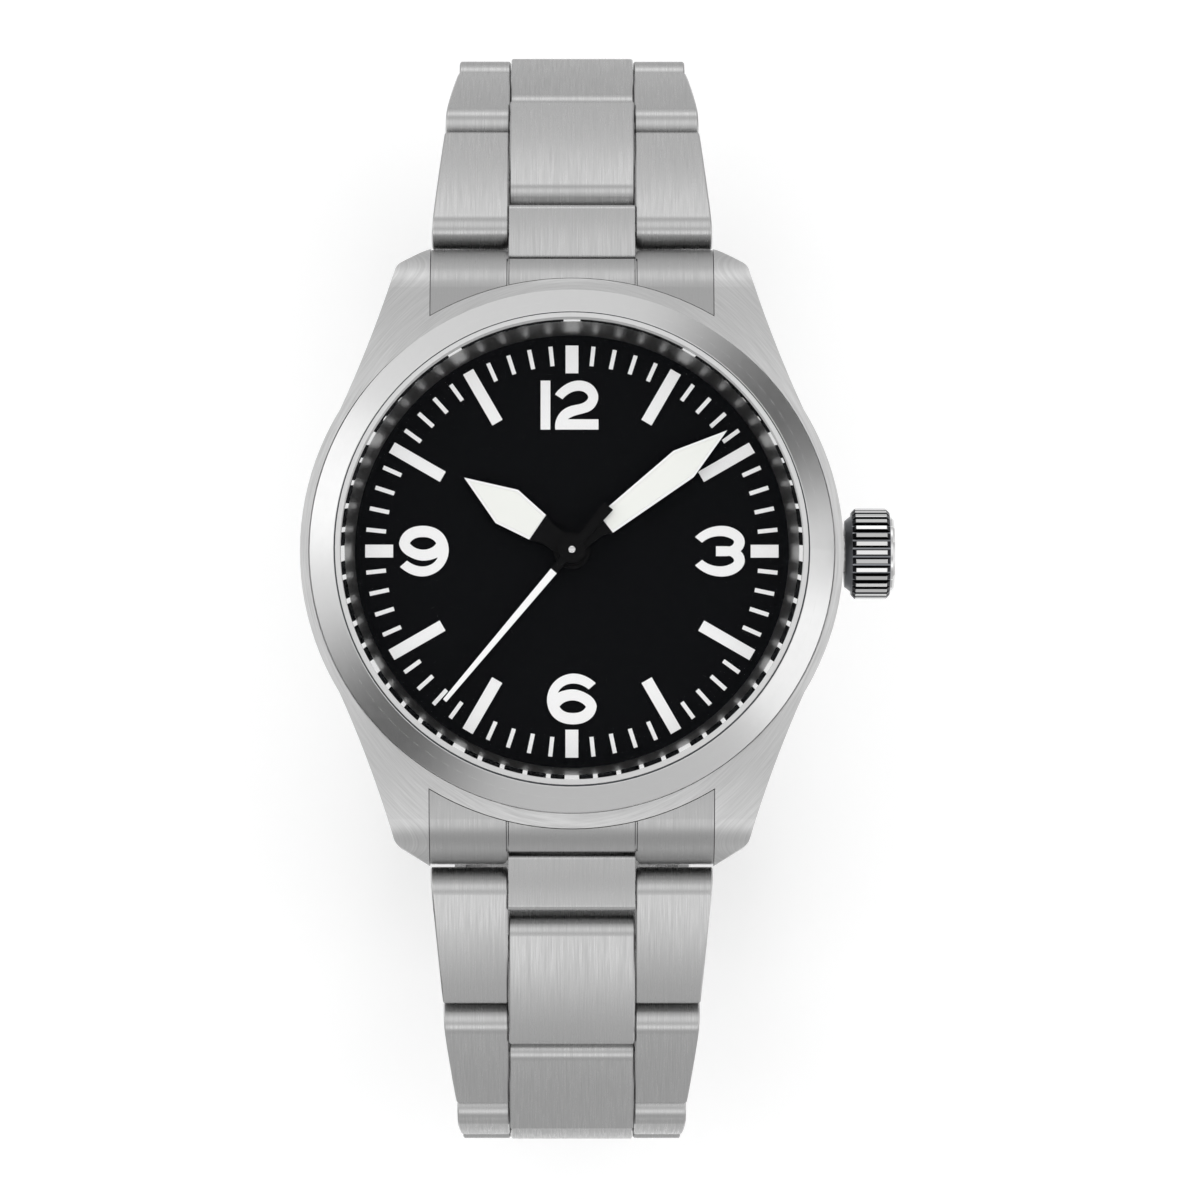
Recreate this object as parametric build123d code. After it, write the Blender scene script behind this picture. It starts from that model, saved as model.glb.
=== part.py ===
from build123d import *
from math import asin, atan2, cos, degrees, hypot, pi, radians, sin, sqrt
import os

# A field watch on a three-row steel bracelet, closed as on a wrist.
# The dial faces +Z, twelve o'clock lies towards +Y and the crown towards +X.
# The origin is the middle of the flat outer face of the case back.

# Fits
overrun = 1.0
running_fit = 0.05
seat_fit = 0.02
link_side_gap = 0.06

# Stack of heights, from the case back up
case_floor_z = 1.1
rotor_floor_gap = 0.25
rotor_rim_height = 0.9
rotor_web_thickness = 0.45
rotor_bridge_gap = 0.25
bridge_thickness = 1.1
train_space = 0.6
plate_thickness = 3.0
plate_recess_depth = 0.4
dial_thickness = 0.4
dial_seat_depth = 1.0
hour_hand_rise = 0.55
minute_hand_gap = 0.25
seconds_hand_gap = 0.22
hand_thickness = 0.2
seconds_hand_thickness = 0.14
seconds_arbor_tip = 0.06
hands_glass_gap = 0.18
crystal_thickness = 1.53

# Case middle
case_radius = 19.0
case_band_width = 4.5
between_lugs_bulge = 0.35
waist_inset = 1.1
waist_rise = 1.1
lug_inner_half_width = 10.0
lug_root_angle = 31.43
lug_waist_width = 4.05
lug_waist_inset = 3.8
lug_tip_width = 2.35
lug_tip_flat = 1.45
lug_reach = 2.85
lug_corner_round = 1.0
top_flat_reach = 13.85
top_knee_reach = 3.15
top_knee_drop = 1.6
lug_tip_top_z = 2.9
lug_tip_bottom_z = 1.3
lug_belly_z = 0.5
lug_belly_reach = 5.35

# Bezel, crystal, gaskets and inner flange
bezel_inset = 0.68
bezel_width = 1.74
bezel_wall = 0.97
bezel_seat_depth = 1.7
bezel_shoulder_rise = 0.35
bezel_rise = 0.72
bezel_rim_width = 0.04
bezel_seam_width = 0.08
bezel_seam_depth = 0.6
gasket_wall = 0.08
gasket_rise = 0.8
crystal_bevel_width = 0.36
crystal_bevel_height = 0.42
flange_inset = 0.11
flange_rim_width = 0.25
flange_width = 1.18
flange_lip = 0.08

# Dial
dial_hidden_rim = 0.48
dial_hole_radius = 0.95
dial_foot_radius = 0.35
dial_foot_length = 1.5
dial_foot_inset = 0.97
dial_foot_angle = 45.0
marking_thickness = 0.06
minute_mark_inset = 0.72
minute_mark_length = 1.38
minute_mark_width = 0.29
hour_bar_inset = 0.62
hour_bar_length = 4.12
hour_bar_width = 0.82
quarter_block_length = 1.95
quarter_block_width = 0.9
numeral_half_width = 1.735
numeral_half_height = 1.775
numeral_inset = 4.82
twelve_drop = 0.09
one_x = -1.855
one_half_width = 0.34
two_x = 0.33
two_half_width = 1.525
two_half_height = 1.72

# Hands
hour_hand_angle = 304.1
minute_hand_angle = 52.3
seconds_hand_angle = 220.0
hour_hub_radius = 1.28
hour_neck_half_width = 0.75
hour_base_y = 2.75
hour_base_half_width = 1.02
hour_shoulder_half_width = 1.4
hour_tip_y = 9.09
hour_point_length = 3.6
minute_hub_radius = 1.03
minute_neck_half_width = 0.5
minute_base_y = 2.9
minute_base_half_width = 0.79
minute_shoulder_half_width = 1.16
minute_tip_gap = 1.47
minute_point_length = 3.85
hand_border = 0.17
lume_gap = 0.01
seconds_hub_radius = 0.94
seconds_tip_gap = 1.4
seconds_tip_half_width = 0.15
seconds_root_half_width = 0.28
seconds_tail_y = 3.97
seconds_tail_half_width = 0.415
seconds_tail_root_half_width = 0.27

# Case back
back_flange_width = 0.65
back_chamfer = 0.45
back_skirt_wall = 1.05
back_skirt_inset = 0.4
back_skirt_height = 1.2
back_gasket_thickness = 0.3
back_gasket_lap = 0.1
back_key_count = 6
back_key_radius = 1.1
back_key_inset = 2.4
back_key_depth = 0.45

# Crown, tube and stem
stem_rise = 1.0
crown_case_gap = 0.15
crown_cone_length = 0.45
crown_bore_depth = 1.95
crown_cap_thickness = 1.2
crown_boss_height = 0.3
crown_radius = 3.2
crown_cone_inset = 0.87
crown_neck_inset = 0.52
crown_boss_inset = 0.62
crown_boss_round = 0.14
crown_tooth_count = 32
crown_tooth_depth = 0.28
crown_tooth_shares = (0.0, 0.45, 0.63, 0.82)
crown_end_chamfer = 0.3
crown_bore_clearance = 0.12
tube_radius = 1.25
tube_bore_radius = 0.8
tube_lead = 0.7
tube_end_gap = 0.35
crown_gasket_lead = 0.6
crown_gasket_width = 0.5
crown_gasket_depth = 0.45
stem_radius = 0.45
stem_inner_x = 5.5
stem_crown_depth = 0.9

# Movement
movement_ring_wall = 0.8
movement_ring_gap = 0.05
plate_rim_width = 0.9
bridge_inset = 0.3
bridge_wall_width = 0.9
seconds_arbor_radius = 0.2
seconds_pivot_rise = 0.4
cannon_radius = 0.5
cannon_wall = 0.25
hour_pipe_wall = 0.26
centre_wheel_radius = 4.0
centre_pinion_radius = 0.83
seconds_wheel_radius = 3.4
wheel_floor_gap = 0.08
wheel_gap = 0.12
wheel_thickness = 0.15
gear_tooth_depth = 0.22
centre_wheel_teeth = 48
seconds_wheel_teeth = 40
barrel_rim_gap = 2.75
barrel_mesh_gap = 0.12
barrel_height = 1.18
barrel_teeth = 60
barrel_arbor_radius = 0.7
barrel_angle = 180.0
hour_wheel_radius = 2.9
hour_wheel_teeth = 36
hour_wheel_thickness = 0.2
balance_rim_gap = 1.5
balance_wheel_gap = 0.4
balance_angle = 302.0
balance_rim_width = 0.55
balance_floor_gap = 0.15
balance_thickness = 0.3
balance_spoke_width = 0.6
balance_staff_radius = 0.25
balance_hub_radius = 0.6
pivot_depth = 0.6
rotor_wall_gap = 0.9
rotor_rim_width = 2.4
rotor_hub_radius = 2.3
rotor_post_radius = 0.9
rotor_post_inset = 0.05
rotor_slot_inner_gap = 1.3
rotor_slot_outer_gap = 1.2
rotor_slot_half_angle = 24.0
rotor_slot_angle = 45.0

# Spring bars and end links
bar_inset_y = 1.6
bar_rise = 1.2
bar_radius = 0.65
bar_tip_radius = 0.4
bar_tip_engagement = 0.9
bar_shoulder_gap = 0.15
end_link_case_gap = 0.05
end_link_top_drop = 0.1
end_link_tip_inset = 0.14
end_link_corner_round = 0.45
end_link_centre_inset = 0.95
end_link_bottom_z = 0.9
end_link_groove_width = 0.1
end_link_groove_depth = 0.2
end_link_arch_radius = 1.72

# Bracelet links
outer_link_last_width = 3.49
link_half_thickness = 1.5
link_pitch = 10.1
link_crown_height = 0.3
link_end_gap = 0.17
link_near_reach = 1.38
link_roll_radius = 1.42
link_far_round = 0.4
centre_near_start = 2.0
centre_near_round = 1.2
centre_far_round = 0.45
link_edge_chamfer = 0.1
link_pin_radius = 0.5
link_pin_recess = 0.25
fixed_pin_share = 0.42
hinge_link_length = 3.12
hinge_link_face = 0.45
hinge_link_round = 0.5
hinge_link_crown = 0.12
hinge_knuckle_radius = 1.05
hinge_knuckle_gap = 0.15
first_narrowing = 0.85
second_narrowing = 1.7
last_narrowing = 1.95
twelve_side_angles = (7.7, 36.6, 62.8, 91.5, 120.0, 146.0, 165.0)
six_side_angles = (10.3, 24.8, 53.5, 83.5, 114.0, 142.0)

# Clasp
clasp_curve_radius = 55.0
cover_side_gap = 0.12
cover_wall = 0.85
cover_roof_inner = 2.0
cover_roof_thickness = 0.9
cover_skirt = 1.6
cover_roof_start = 0.3
cover_wall_lead = 1.7
cover_end_gap = 2.7
cover_edge_round = 0.5
blade_side_gap = 1.62
blade_thickness = 0.8
blade_gap = 0.3
blade_rail_width = 2.9
blade_window_end_margin = 7.0
knuckle_radius = 0.95
knuckle_pin_radius = 0.45
cover_hinge_offset = 0.35
cover_hinge_inset = 4.2
blade_hinge_offset = 0.5
blade_hinge_inset = 3.4
blade_ear_width = 3.5
fork_side_gap = 0.62
fork_notch_radius = 2.9
button_position = 9.5
button_offset = 0.85
button_length = 4.6
button_height = 1.6
button_flange_length = 5.8
button_flange_height = 2.2
button_flange_thickness = 0.7
button_proud = 0.6
button_clearance = 0.06
spring_end_gap = 0.66
spring_width = 2.4
spring_thickness = 0.2
spring_foot_half_length = 1.4
spring_bow = 0.85

# Heights that follow from the stack
rotor_rim_bottom_z = case_floor_z + rotor_floor_gap
rotor_top_z = rotor_rim_bottom_z + rotor_rim_height
rotor_web_bottom_z = rotor_top_z - rotor_web_thickness
rotor_post_bottom_z = rotor_rim_bottom_z + rotor_post_inset
bridge_bottom_z = rotor_top_z + rotor_bridge_gap
bridge_top_z = bridge_bottom_z + bridge_thickness
seconds_arbor_bottom_z = bridge_bottom_z + seconds_pivot_rise
seconds_wheel_z = bridge_top_z + wheel_floor_gap
centre_wheel_z = seconds_wheel_z + wheel_thickness + wheel_gap
balance_z = bridge_top_z + balance_floor_gap
plate_bottom_z = bridge_top_z + train_space
barrel_bottom_z = plate_bottom_z + wheel_gap
barrel_top_z = barrel_bottom_z + barrel_height
crown_z = plate_bottom_z + stem_rise
dial_seat_z = plate_bottom_z + plate_thickness
plate_top_z = dial_seat_z - plate_recess_depth
hour_wheel_z = plate_top_z + wheel_floor_gap
dial_top_z = dial_seat_z + dial_thickness
case_top_z = dial_seat_z + dial_seat_depth
hour_hand_z = dial_top_z + hour_hand_rise
minute_hand_z = hour_hand_z + hand_thickness + minute_hand_gap
seconds_hand_z = minute_hand_z + hand_thickness + seconds_hand_gap
seconds_arbor_top_z = seconds_hand_z + seconds_hand_thickness + seconds_arbor_tip
neck_top_z = seconds_arbor_top_z + hands_glass_gap
crystal_top_z = neck_top_z + seat_fit + crystal_thickness
bezel_seat_z = case_top_z - bezel_seat_depth
bezel_shoulder_z = case_top_z + bezel_shoulder_rise
bezel_face_z = neck_top_z + bezel_rise
gasket_top_z = neck_top_z + gasket_rise
back_skirt_top_z = case_floor_z + back_skirt_height
waist_z = case_floor_z + waist_rise

# Radii that follow from the case
between_lugs_radius = case_radius + between_lugs_bulge
waist_radius = case_radius - waist_inset
movement_bore_radius = case_radius - case_band_width
bezel_radius = case_radius - bezel_inset
bezel_bore_radius = bezel_radius - bezel_width
neck_outer_radius = bezel_radius - bezel_wall
crystal_radius = bezel_bore_radius - gasket_wall - 2 * seat_fit
flange_outer_radius = crystal_radius - flange_inset
flange_top_radius = flange_outer_radius - flange_rim_width
flange_foot_radius = flange_outer_radius - flange_width
dial_radius = flange_foot_radius + dial_hidden_rim
minute_mark_outer = flange_foot_radius - minute_mark_inset
hour_bar_outer = flange_foot_radius - hour_bar_inset
numeral_ring_radius = flange_foot_radius - numeral_inset
twelve_y = numeral_ring_radius - twelve_drop
minute_tip_y = flange_foot_radius - minute_tip_gap
minute_shoulder_y = minute_tip_y - minute_point_length
hour_shoulder_y = hour_tip_y - hour_point_length
seconds_tip_y = flange_foot_radius - seconds_tip_gap
back_skirt_inner_radius = movement_bore_radius + back_skirt_inset
back_skirt_outer_radius = back_skirt_inner_radius + back_skirt_wall
back_radius = back_skirt_outer_radius + back_flange_width
back_gasket_inner_radius = back_skirt_inner_radius + back_gasket_lap
back_key_ring_radius = back_radius - back_key_inset
movement_radius = movement_bore_radius - movement_ring_wall
bridge_radius = movement_radius - bridge_inset
dial_foot_ring_radius = movement_radius - dial_foot_inset
rotor_radius = movement_radius - rotor_wall_gap
rotor_rim_inner_radius = rotor_radius - rotor_rim_width
rotor_slot_inner_radius = rotor_hub_radius + rotor_slot_inner_gap
rotor_slot_outer_radius = rotor_rim_inner_radius - rotor_slot_outer_gap
barrel_span = movement_radius - barrel_rim_gap - centre_pinion_radius - barrel_mesh_gap
barrel_radius = barrel_span / 2
barrel_distance = centre_pinion_radius + barrel_mesh_gap + barrel_radius
balance_span = movement_radius - balance_rim_gap - centre_wheel_radius - balance_wheel_gap
balance_radius = balance_span / 2
balance_distance = centre_wheel_radius + balance_wheel_gap + balance_radius
hour_pipe_radius = cannon_radius + running_fit + hour_pipe_wall

# Lugs, spring bars and end links that follow from the case
lug_tip_y = case_radius + lug_reach
lug_corner_x = lug_inner_half_width + lug_tip_width
lug_corner_y = lug_tip_y - lug_tip_flat
lug_waist_x = lug_inner_half_width + lug_waist_width
lug_waist_y = case_radius - lug_waist_inset
strap_pivot_y = lug_tip_y - bar_inset_y
strap_pivot_z = lug_tip_bottom_z + bar_rise
end_link_tip_y = lug_tip_y - end_link_tip_inset
end_link_centre_y = lug_tip_y - end_link_centre_inset
end_link_half_width = lug_inner_half_width - end_link_case_gap
bar_bore_radius = bar_radius + running_fit
bar_tip_bore_radius = bar_tip_radius + running_fit

# Places along the crown's axis
crown_inner_x = case_radius + crown_case_gap
crown_cone_x = crown_inner_x + crown_cone_length
crown_bore_end_x = crown_inner_x + crown_bore_depth
crown_knurl_end_x = crown_bore_end_x + crown_cap_thickness
crown_end_x = crown_knurl_end_x + crown_boss_height
crown_gasket_x = crown_inner_x + crown_gasket_lead
tube_inner_x = movement_bore_radius + tube_lead
tube_outer_x = crown_bore_end_x - tube_end_gap
stem_end_x = crown_bore_end_x + stem_crown_depth

# Bracelet and clasp sizes that follow from the lugs
bracelet_half_widths = (
    end_link_half_width,
    end_link_half_width - first_narrowing,
    end_link_half_width - second_narrowing,
    end_link_half_width - last_narrowing,
)
link_inner_half_width = bracelet_half_widths[-1] - outer_link_last_width
centre_link_half_width = link_inner_half_width - link_side_gap
pin_bore_radius = link_pin_radius + running_fit
pin_press_radius = link_pin_radius + seat_fit
outer_far_y = link_pitch - link_half_thickness - link_end_gap
centre_far_y = link_pitch + link_half_thickness
fixed_pin_y = link_pitch * fixed_pin_share
cover_inner_half_width = bracelet_half_widths[-1] + cover_side_gap
cover_half_width = cover_inner_half_width + cover_wall
blade_half_width = cover_inner_half_width - blade_side_gap
blade_window_half_width = blade_half_width - blade_rail_width
blade_hinge_split = blade_half_width - blade_ear_width
blade_fork_half_width = cover_inner_half_width - fork_side_gap
spring_half_length = cover_inner_half_width - button_clearance - button_flange_thickness - spring_end_gap


def outline(*runs):
    """A face bounded by runs of points: two points make a line, more make a smooth curve."""
    edges = [Line(*run) if len(run) == 2 else Spline(*run) for run in runs]
    return make_face(Curve() + edges)


def polygon(points):
    """A face with straight sides."""
    return make_face(Polyline(*points, close=True))


def disc(radius, low, high):
    """An upright cylinder between two heights."""
    return Pos(0, 0, low) * extrude(Circle(radius), high - low)


def ring(outer, inner, low, high):
    """An upright tube between two heights."""
    return Pos(0, 0, low) * extrude(Circle(outer) - Circle(inner), high - low)


def block(x_low, x_high, y_low, y_high, z_low, z_high):
    """A box between two corners."""
    size = (x_high - x_low, y_high - y_low, z_high - z_low)
    middle = ((x_low + x_high) / 2, (y_low + y_high) / 2, (z_low + z_high) / 2)
    return Pos(*middle) * Box(*size)


def turned(points):
    """A solid turned about the dial's axis from (radius, height) points."""
    return revolve(Plane.XZ * polygon(points), Axis.Z)


def turned_on_x(points):
    """A solid turned about the X axis from (x, radius) points."""
    return revolve(polygon(points), Axis.X)


def rod(radius, x_low, x_high, y=0.0, z=0.0):
    """A round bar along X."""
    return Pos(x_low, y, z) * extrude(Plane.YZ * Circle(radius), x_high - x_low)


def across(face, half_width):
    """A side view, drawn in (y, z), made solid over a width that is centred on X = 0."""
    return extrude(Plane.YZ * face, half_width, both=True)


def across_between(face, x_low, x_high):
    """A side view, drawn in (y, z), made solid between two places on X."""
    return Pos(x_low, 0, 0) * extrude(Plane.YZ * face, x_high - x_low)


def both_sides(piece):
    """A piece and its mirror image on the other side of X = 0."""
    return piece + mirror(piece, Plane.YZ)


def gear(radius, teeth, low, high, bore):
    """A flat toothed wheel with a bore."""
    root = radius - gear_tooth_depth
    step = 2 * pi / teeth
    tooth_shares = ((0.0, root), (0.3, root), (0.45, radius), (0.85, radius))
    points = [
        (reach * cos((tooth + share) * step), reach * sin((tooth + share) * step))
        for tooth in range(teeth)
        for share, reach in tooth_shares
    ]
    return Pos(0, 0, low) * extrude(polygon(points) - Circle(bore), high - low)


def save(name, *pieces):
    """Write one sub-part, a group of separate solids, to its own file."""
    solids = [solid for piece in pieces for solid in piece.solids()]
    export_step(Compound(solids), f"parts/{name}.step")


# Case middle


def case_side_view(drop=0.0):
    """Half of the case's side view, from the middle to the lug tip at +Y."""
    top = case_top_z - drop
    flat_end = (lug_tip_y - top_flat_reach, top)
    knee = (lug_tip_y - top_knee_reach, top - top_knee_drop)
    tip = (lug_tip_y, lug_tip_top_z)
    shoulder = TangentArc(flat_end, knee, tangent=(1, 0))
    fall = TangentArc(knee, tip, tangent=shoulder % 1)
    rest = Polyline(
        tip,
        (lug_tip_y, lug_tip_bottom_z),
        (lug_corner_y, lug_belly_z),
        (lug_tip_y - lug_belly_reach, case_floor_z),
        (0, case_floor_z),
        (0, top),
        flat_end,
    )
    return make_face(shoulder + fall + rest)


def lug_plan():
    """One lug seen from above, with the part of the case that it grows from."""
    root = (case_radius * cos(radians(lug_root_angle)), case_radius * sin(radians(lug_root_angle)))
    flank = ThreePointArc(root, (lug_waist_x, lug_waist_y), (lug_corner_x, lug_corner_y))
    rest = Polyline(
        (lug_corner_x, lug_corner_y),
        (lug_inner_half_width, lug_tip_y),
        (lug_inner_half_width, 0),
        (root[0], 0),
        root,
    )
    face = make_face(flank + rest)
    corner = face.vertices().sort_by_distance((lug_corner_x, lug_corner_y))[0]
    return fillet(corner, lug_corner_round)


def lug_bar_hole():
    """The blind holes for the spring bar's tips, through both lugs' inner faces at +Y."""
    reach = lug_inner_half_width + bar_tip_engagement + bar_shoulder_gap
    return rod(bar_tip_bore_radius, -reach, reach, strap_pivot_y, strap_pivot_z)


def knuckle_hollow():
    """The hollow in the wall between two lugs at +Y that clears the hinge link's knuckle."""
    half = link_inner_half_width
    return rod(hinge_knuckle_radius + hinge_knuckle_gap, -half, half, strap_pivot_y, strap_pivot_z)


def make_case_middle():
    """The case band with its four lugs, bored for the movement, the bezel and the case back."""
    lug = lug_plan()
    plan = Circle(case_radius) + lug + mirror(lug, Plane.YZ)
    plan += mirror(lug, Plane.XZ) + mirror(mirror(lug, Plane.XZ), Plane.YZ)
    between_lugs = Rectangle(2 * lug_inner_half_width, 2 * (lug_tip_y + overrun))
    plan -= between_lugs - Circle(between_lugs_radius)
    plan += between_lugs & Circle(between_lugs_radius)
    side = case_side_view()
    side += mirror(side, Plane.YZ)
    body = extrude(plan, case_top_z + overrun) & across(side, case_radius + overrun)
    undercut = turned(
        (
            (case_radius + overrun, 0),
            (waist_radius - overrun, 0),
            (waist_radius - overrun, case_floor_z),
            (waist_radius, case_floor_z),
            (case_radius, waist_z),
            (case_radius + overrun, waist_z),
        )
    )
    reach = case_radius + overrun
    root_y = case_radius * sin(radians(lug_root_angle))
    undercut &= block(-reach, reach, -root_y, root_y, 0, waist_z)
    body -= undercut
    body -= disc(movement_bore_radius, 0, dial_seat_z)
    body -= disc(dial_radius + running_fit, dial_seat_z, dial_top_z + seat_fit)
    body -= disc(flange_outer_radius + running_fit, dial_top_z, case_top_z + overrun)
    body -= ring(bezel_radius + seat_fit, neck_outer_radius, bezel_seat_z, case_top_z + overrun)
    seam_radius = bezel_radius + bezel_seam_width
    body -= ring(seam_radius, neck_outer_radius, case_top_z - bezel_seam_depth, case_top_z + overrun)
    body += ring(
        neck_outer_radius, flange_outer_radius + running_fit, case_top_z - overrun, neck_top_z
    )
    body -= disc(back_skirt_outer_radius + running_fit, 0, back_skirt_top_z + back_gasket_thickness)
    body -= rod(tube_radius + seat_fit, 0, case_radius + overrun, 0, crown_z)
    for end in (0, 180):
        body -= Rot(0, 0, end) * lug_bar_hole()
        body -= Rot(0, 0, end) * knuckle_hollow()
    return body


# Bezel, crystal, gaskets and inner flange


def make_bezel():
    """The polished sloping ring that is pressed over the case's neck."""
    bore = neck_outer_radius + seat_fit
    return turned(
        (
            (bore, bezel_seat_z),
            (bezel_radius - seat_fit, bezel_seat_z),
            (bezel_radius - seat_fit, bezel_shoulder_z),
            (bezel_bore_radius + bezel_rim_width, bezel_face_z),
            (bezel_bore_radius, bezel_face_z),
            (bezel_bore_radius, neck_top_z + seat_fit),
            (bore, neck_top_z + seat_fit),
        )
    )


def make_crystal():
    """The flat sapphire glass with its bevelled rim."""
    return turned(
        (
            (0, neck_top_z + seat_fit),
            (crystal_radius, neck_top_z + seat_fit),
            (crystal_radius, crystal_top_z - crystal_bevel_height),
            (crystal_radius - crystal_bevel_width, crystal_top_z),
            (0, crystal_top_z),
        )
    )


def make_crystal_gasket():
    """The thin ring that is squeezed between the glass and the bezel."""
    inner = crystal_radius + seat_fit
    return ring(inner + gasket_wall, inner, neck_top_z + seat_fit, gasket_top_z)


def make_flange():
    """The polished cone between the dial and the glass."""
    return turned(
        (
            (flange_foot_radius, dial_top_z + seat_fit),
            (flange_outer_radius, dial_top_z + seat_fit),
            (flange_outer_radius, neck_top_z),
            (flange_top_radius, neck_top_z),
            (flange_foot_radius, dial_top_z + seat_fit + flange_lip),
        )
    )


# Dial


def dial_foot_places():
    """Where the dial's two feet stand."""
    return [at_polar(dial_foot_ring_radius, dial_foot_angle + half_turn) for half_turn in (0, 180)]


def make_dial():
    """The dial plate with its centre hole and the two feet that hold it to the movement."""
    plate = ring(dial_radius, dial_hole_radius, dial_seat_z, dial_top_z)
    foot = disc(dial_foot_radius, dial_seat_z - dial_foot_length, dial_seat_z)
    for place in dial_foot_places():
        plate += place * foot
    return plate


def radial_mark(inner, outer, width, angle):
    """A rectangle on the dial at a clockwise angle from twelve."""
    bar = Pos(0, (inner + outer) / 2) * Rectangle(width, outer - inner)
    return Rot(0, 0, -angle) * bar


def sized(runs, half_width, half_height):
    """Runs of points given as shares of a numeral's half width and half height."""
    return [[(x * half_width, y * half_height) for x, y in run] for run in runs]


def numeral_nine():
    """A nine with a flat oval bowl and an open tail."""
    outer_shares = (
        ((-1.0, 0.29), (-0.72, 0.8), (0.0, 1.0), (0.72, 0.73), (1.0, 0.07), (0.7, -0.68),
         (-0.07, -1.0), (-0.6, -0.87), (-0.96, -0.62)),
        ((-0.96, -0.62), (-0.68, -0.38)),
        ((-0.68, -0.38), (-0.38, -0.55), (-0.05, -0.61), (0.34, -0.5), (0.56, -0.245)),
        ((0.56, -0.245), (0.28, -0.34), (-0.07, -0.375), (-0.52, -0.25), (-0.87, 0.0), (-1.0, 0.29)),
    )
    bowl_shares = (
        ((-0.57, 0.31), (-0.36, 0.5), (-0.04, 0.555), (0.3, 0.49), (0.5, 0.3)),
        ((0.5, 0.3), (0.28, 0.12), (-0.03, 0.055), (-0.33, 0.12), (-0.57, 0.31)),
    )
    size = (numeral_half_width, numeral_half_height)
    return outline(*sized(outer_shares, *size)) - outline(*sized(bowl_shares, *size))


def numeral_three():
    """A three with round bowls and a flat middle bar."""
    upper_shares = (
        ((0.83, 0.0), (0.97, 0.2), (0.99, 0.45), (0.66, 0.85), (0.0, 1.0), (-0.55, 0.87), (-1.0, 0.56)),
        ((-1.0, 0.56), (-0.72, 0.34)),
        ((-0.72, 0.34), (-0.4, 0.53), (0.0, 0.6), (0.4, 0.52), (0.57, 0.37), (0.5, 0.245), (0.3, 0.195)),
        ((0.3, 0.195), (-0.16, 0.195)),
        ((-0.16, 0.195), (-0.16, 0.0)),
        ((-0.16, 0.0), (0.83, 0.0)),
    )
    upper = outline(*sized(upper_shares, numeral_half_width, numeral_half_height))
    return upper + mirror(upper, Plane.XZ)


def numeral_two():
    """A two with a round head and a flat base."""
    shares = (
        ((-1.0, 0.44), (-0.6, 0.79), (0.02, 1.0), (0.7, 0.83), (0.99, 0.32), (0.69, -0.19), (0.02, -0.4),
         (-0.41, -0.58)),
        ((-0.41, -0.58), (1.0, -0.58)),
        ((1.0, -0.58), (1.0, -1.0)),
        ((1.0, -1.0), (-0.98, -1.0)),
        ((-0.98, -1.0), (-0.94, -0.6), (-0.68, -0.24), (-0.15, -0.01), (0.34, 0.11), (0.53, 0.32),
         (0.42, 0.49), (0.02, 0.585), (-0.41, 0.44), (-0.65, 0.24)),
        ((-0.65, 0.24), (-1.0, 0.44)),
    )
    return outline(*sized(shares, two_half_width, two_half_height))


def make_dial_markings():
    """Every printed mark of the dial: minute track, hour bars, quarter blocks and four numerals."""
    marks = []
    for minute in range(60):
        angle = 360 / 60 * minute
        if minute % 15 == 0:
            size = (minute_mark_outer - quarter_block_length, minute_mark_outer, quarter_block_width)
        elif minute % 5 == 0:
            size = (hour_bar_outer - hour_bar_length, hour_bar_outer, hour_bar_width)
        else:
            size = (minute_mark_outer - minute_mark_length, minute_mark_outer, minute_mark_width)
        marks.append(radial_mark(*size, angle))
    one = Pos(one_x, twelve_y) * Rectangle(2 * one_half_width, 2 * two_half_height)
    marks.append(one)
    marks.append(Pos(two_x, twelve_y) * numeral_two())
    marks.append(Pos(numeral_ring_radius, 0) * numeral_three())
    marks.append(Pos(-numeral_ring_radius, 0) * numeral_nine())
    marks.append(Pos(0, -numeral_ring_radius) * Rot(0, 0, 180) * numeral_nine())
    return [Pos(0, 0, dial_top_z) * extrude(mark, marking_thickness) for mark in marks]


# Hands


def blade_outline(neck, base_y, base, shoulder_y, shoulder, tip_y):
    """A hand's spear-shaped blade with a tapered neck."""
    return polygon(
        (
            (-neck, 0),
            (-neck, base_y - neck),
            (-base, base_y),
            (-shoulder, shoulder_y),
            (0, tip_y),
            (shoulder, shoulder_y),
            (base, base_y),
            (neck, base_y - neck),
            (neck, 0),
        )
    )


def lume_outline(base_y, base, shoulder_y, shoulder, tip_y, inset):
    """The luminous field inside a blade, set in from its edges."""
    lean = atan2(shoulder, tip_y - shoulder_y)
    return polygon(
        (
            (-base + inset, base_y + inset),
            (-shoulder + inset, shoulder_y),
            (0, tip_y - inset / sin(lean)),
            (shoulder - inset, shoulder_y),
            (base - inset, base_y + inset),
        )
    )


def make_spear_hand(hub_radius, bore, low, angle, neck, *blade):
    """A spear hand with a window, and the luminous paste that fills the window."""
    plate = blade_outline(neck, *blade) + Circle(hub_radius) - Circle(bore)
    plate -= lume_outline(*blade, hand_border)
    lume = lume_outline(*blade, hand_border + lume_gap)
    turn = Rot(0, 0, -angle) * Pos(0, 0, low)
    return turn * extrude(plate, hand_thickness), turn * extrude(lume, hand_thickness)


def make_seconds_hand():
    """The thin tapered seconds hand with its counterweight tail."""
    blade = polygon(
        (
            (-seconds_root_half_width, 0),
            (-seconds_tip_half_width, seconds_tip_y),
            (seconds_tip_half_width, seconds_tip_y),
            (seconds_root_half_width, 0),
        )
    )
    tail = polygon(
        (
            (-seconds_tail_root_half_width, 0),
            (-seconds_tail_half_width, -seconds_tail_y),
            (seconds_tail_half_width, -seconds_tail_y),
            (seconds_tail_root_half_width, 0),
        )
    )
    plate = blade + tail + Circle(seconds_hub_radius) - Circle(seconds_arbor_radius + seat_fit)
    return Rot(0, 0, -seconds_hand_angle) * Pos(0, 0, seconds_hand_z) * extrude(
        plate, seconds_hand_thickness
    )


# Case back


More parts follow.
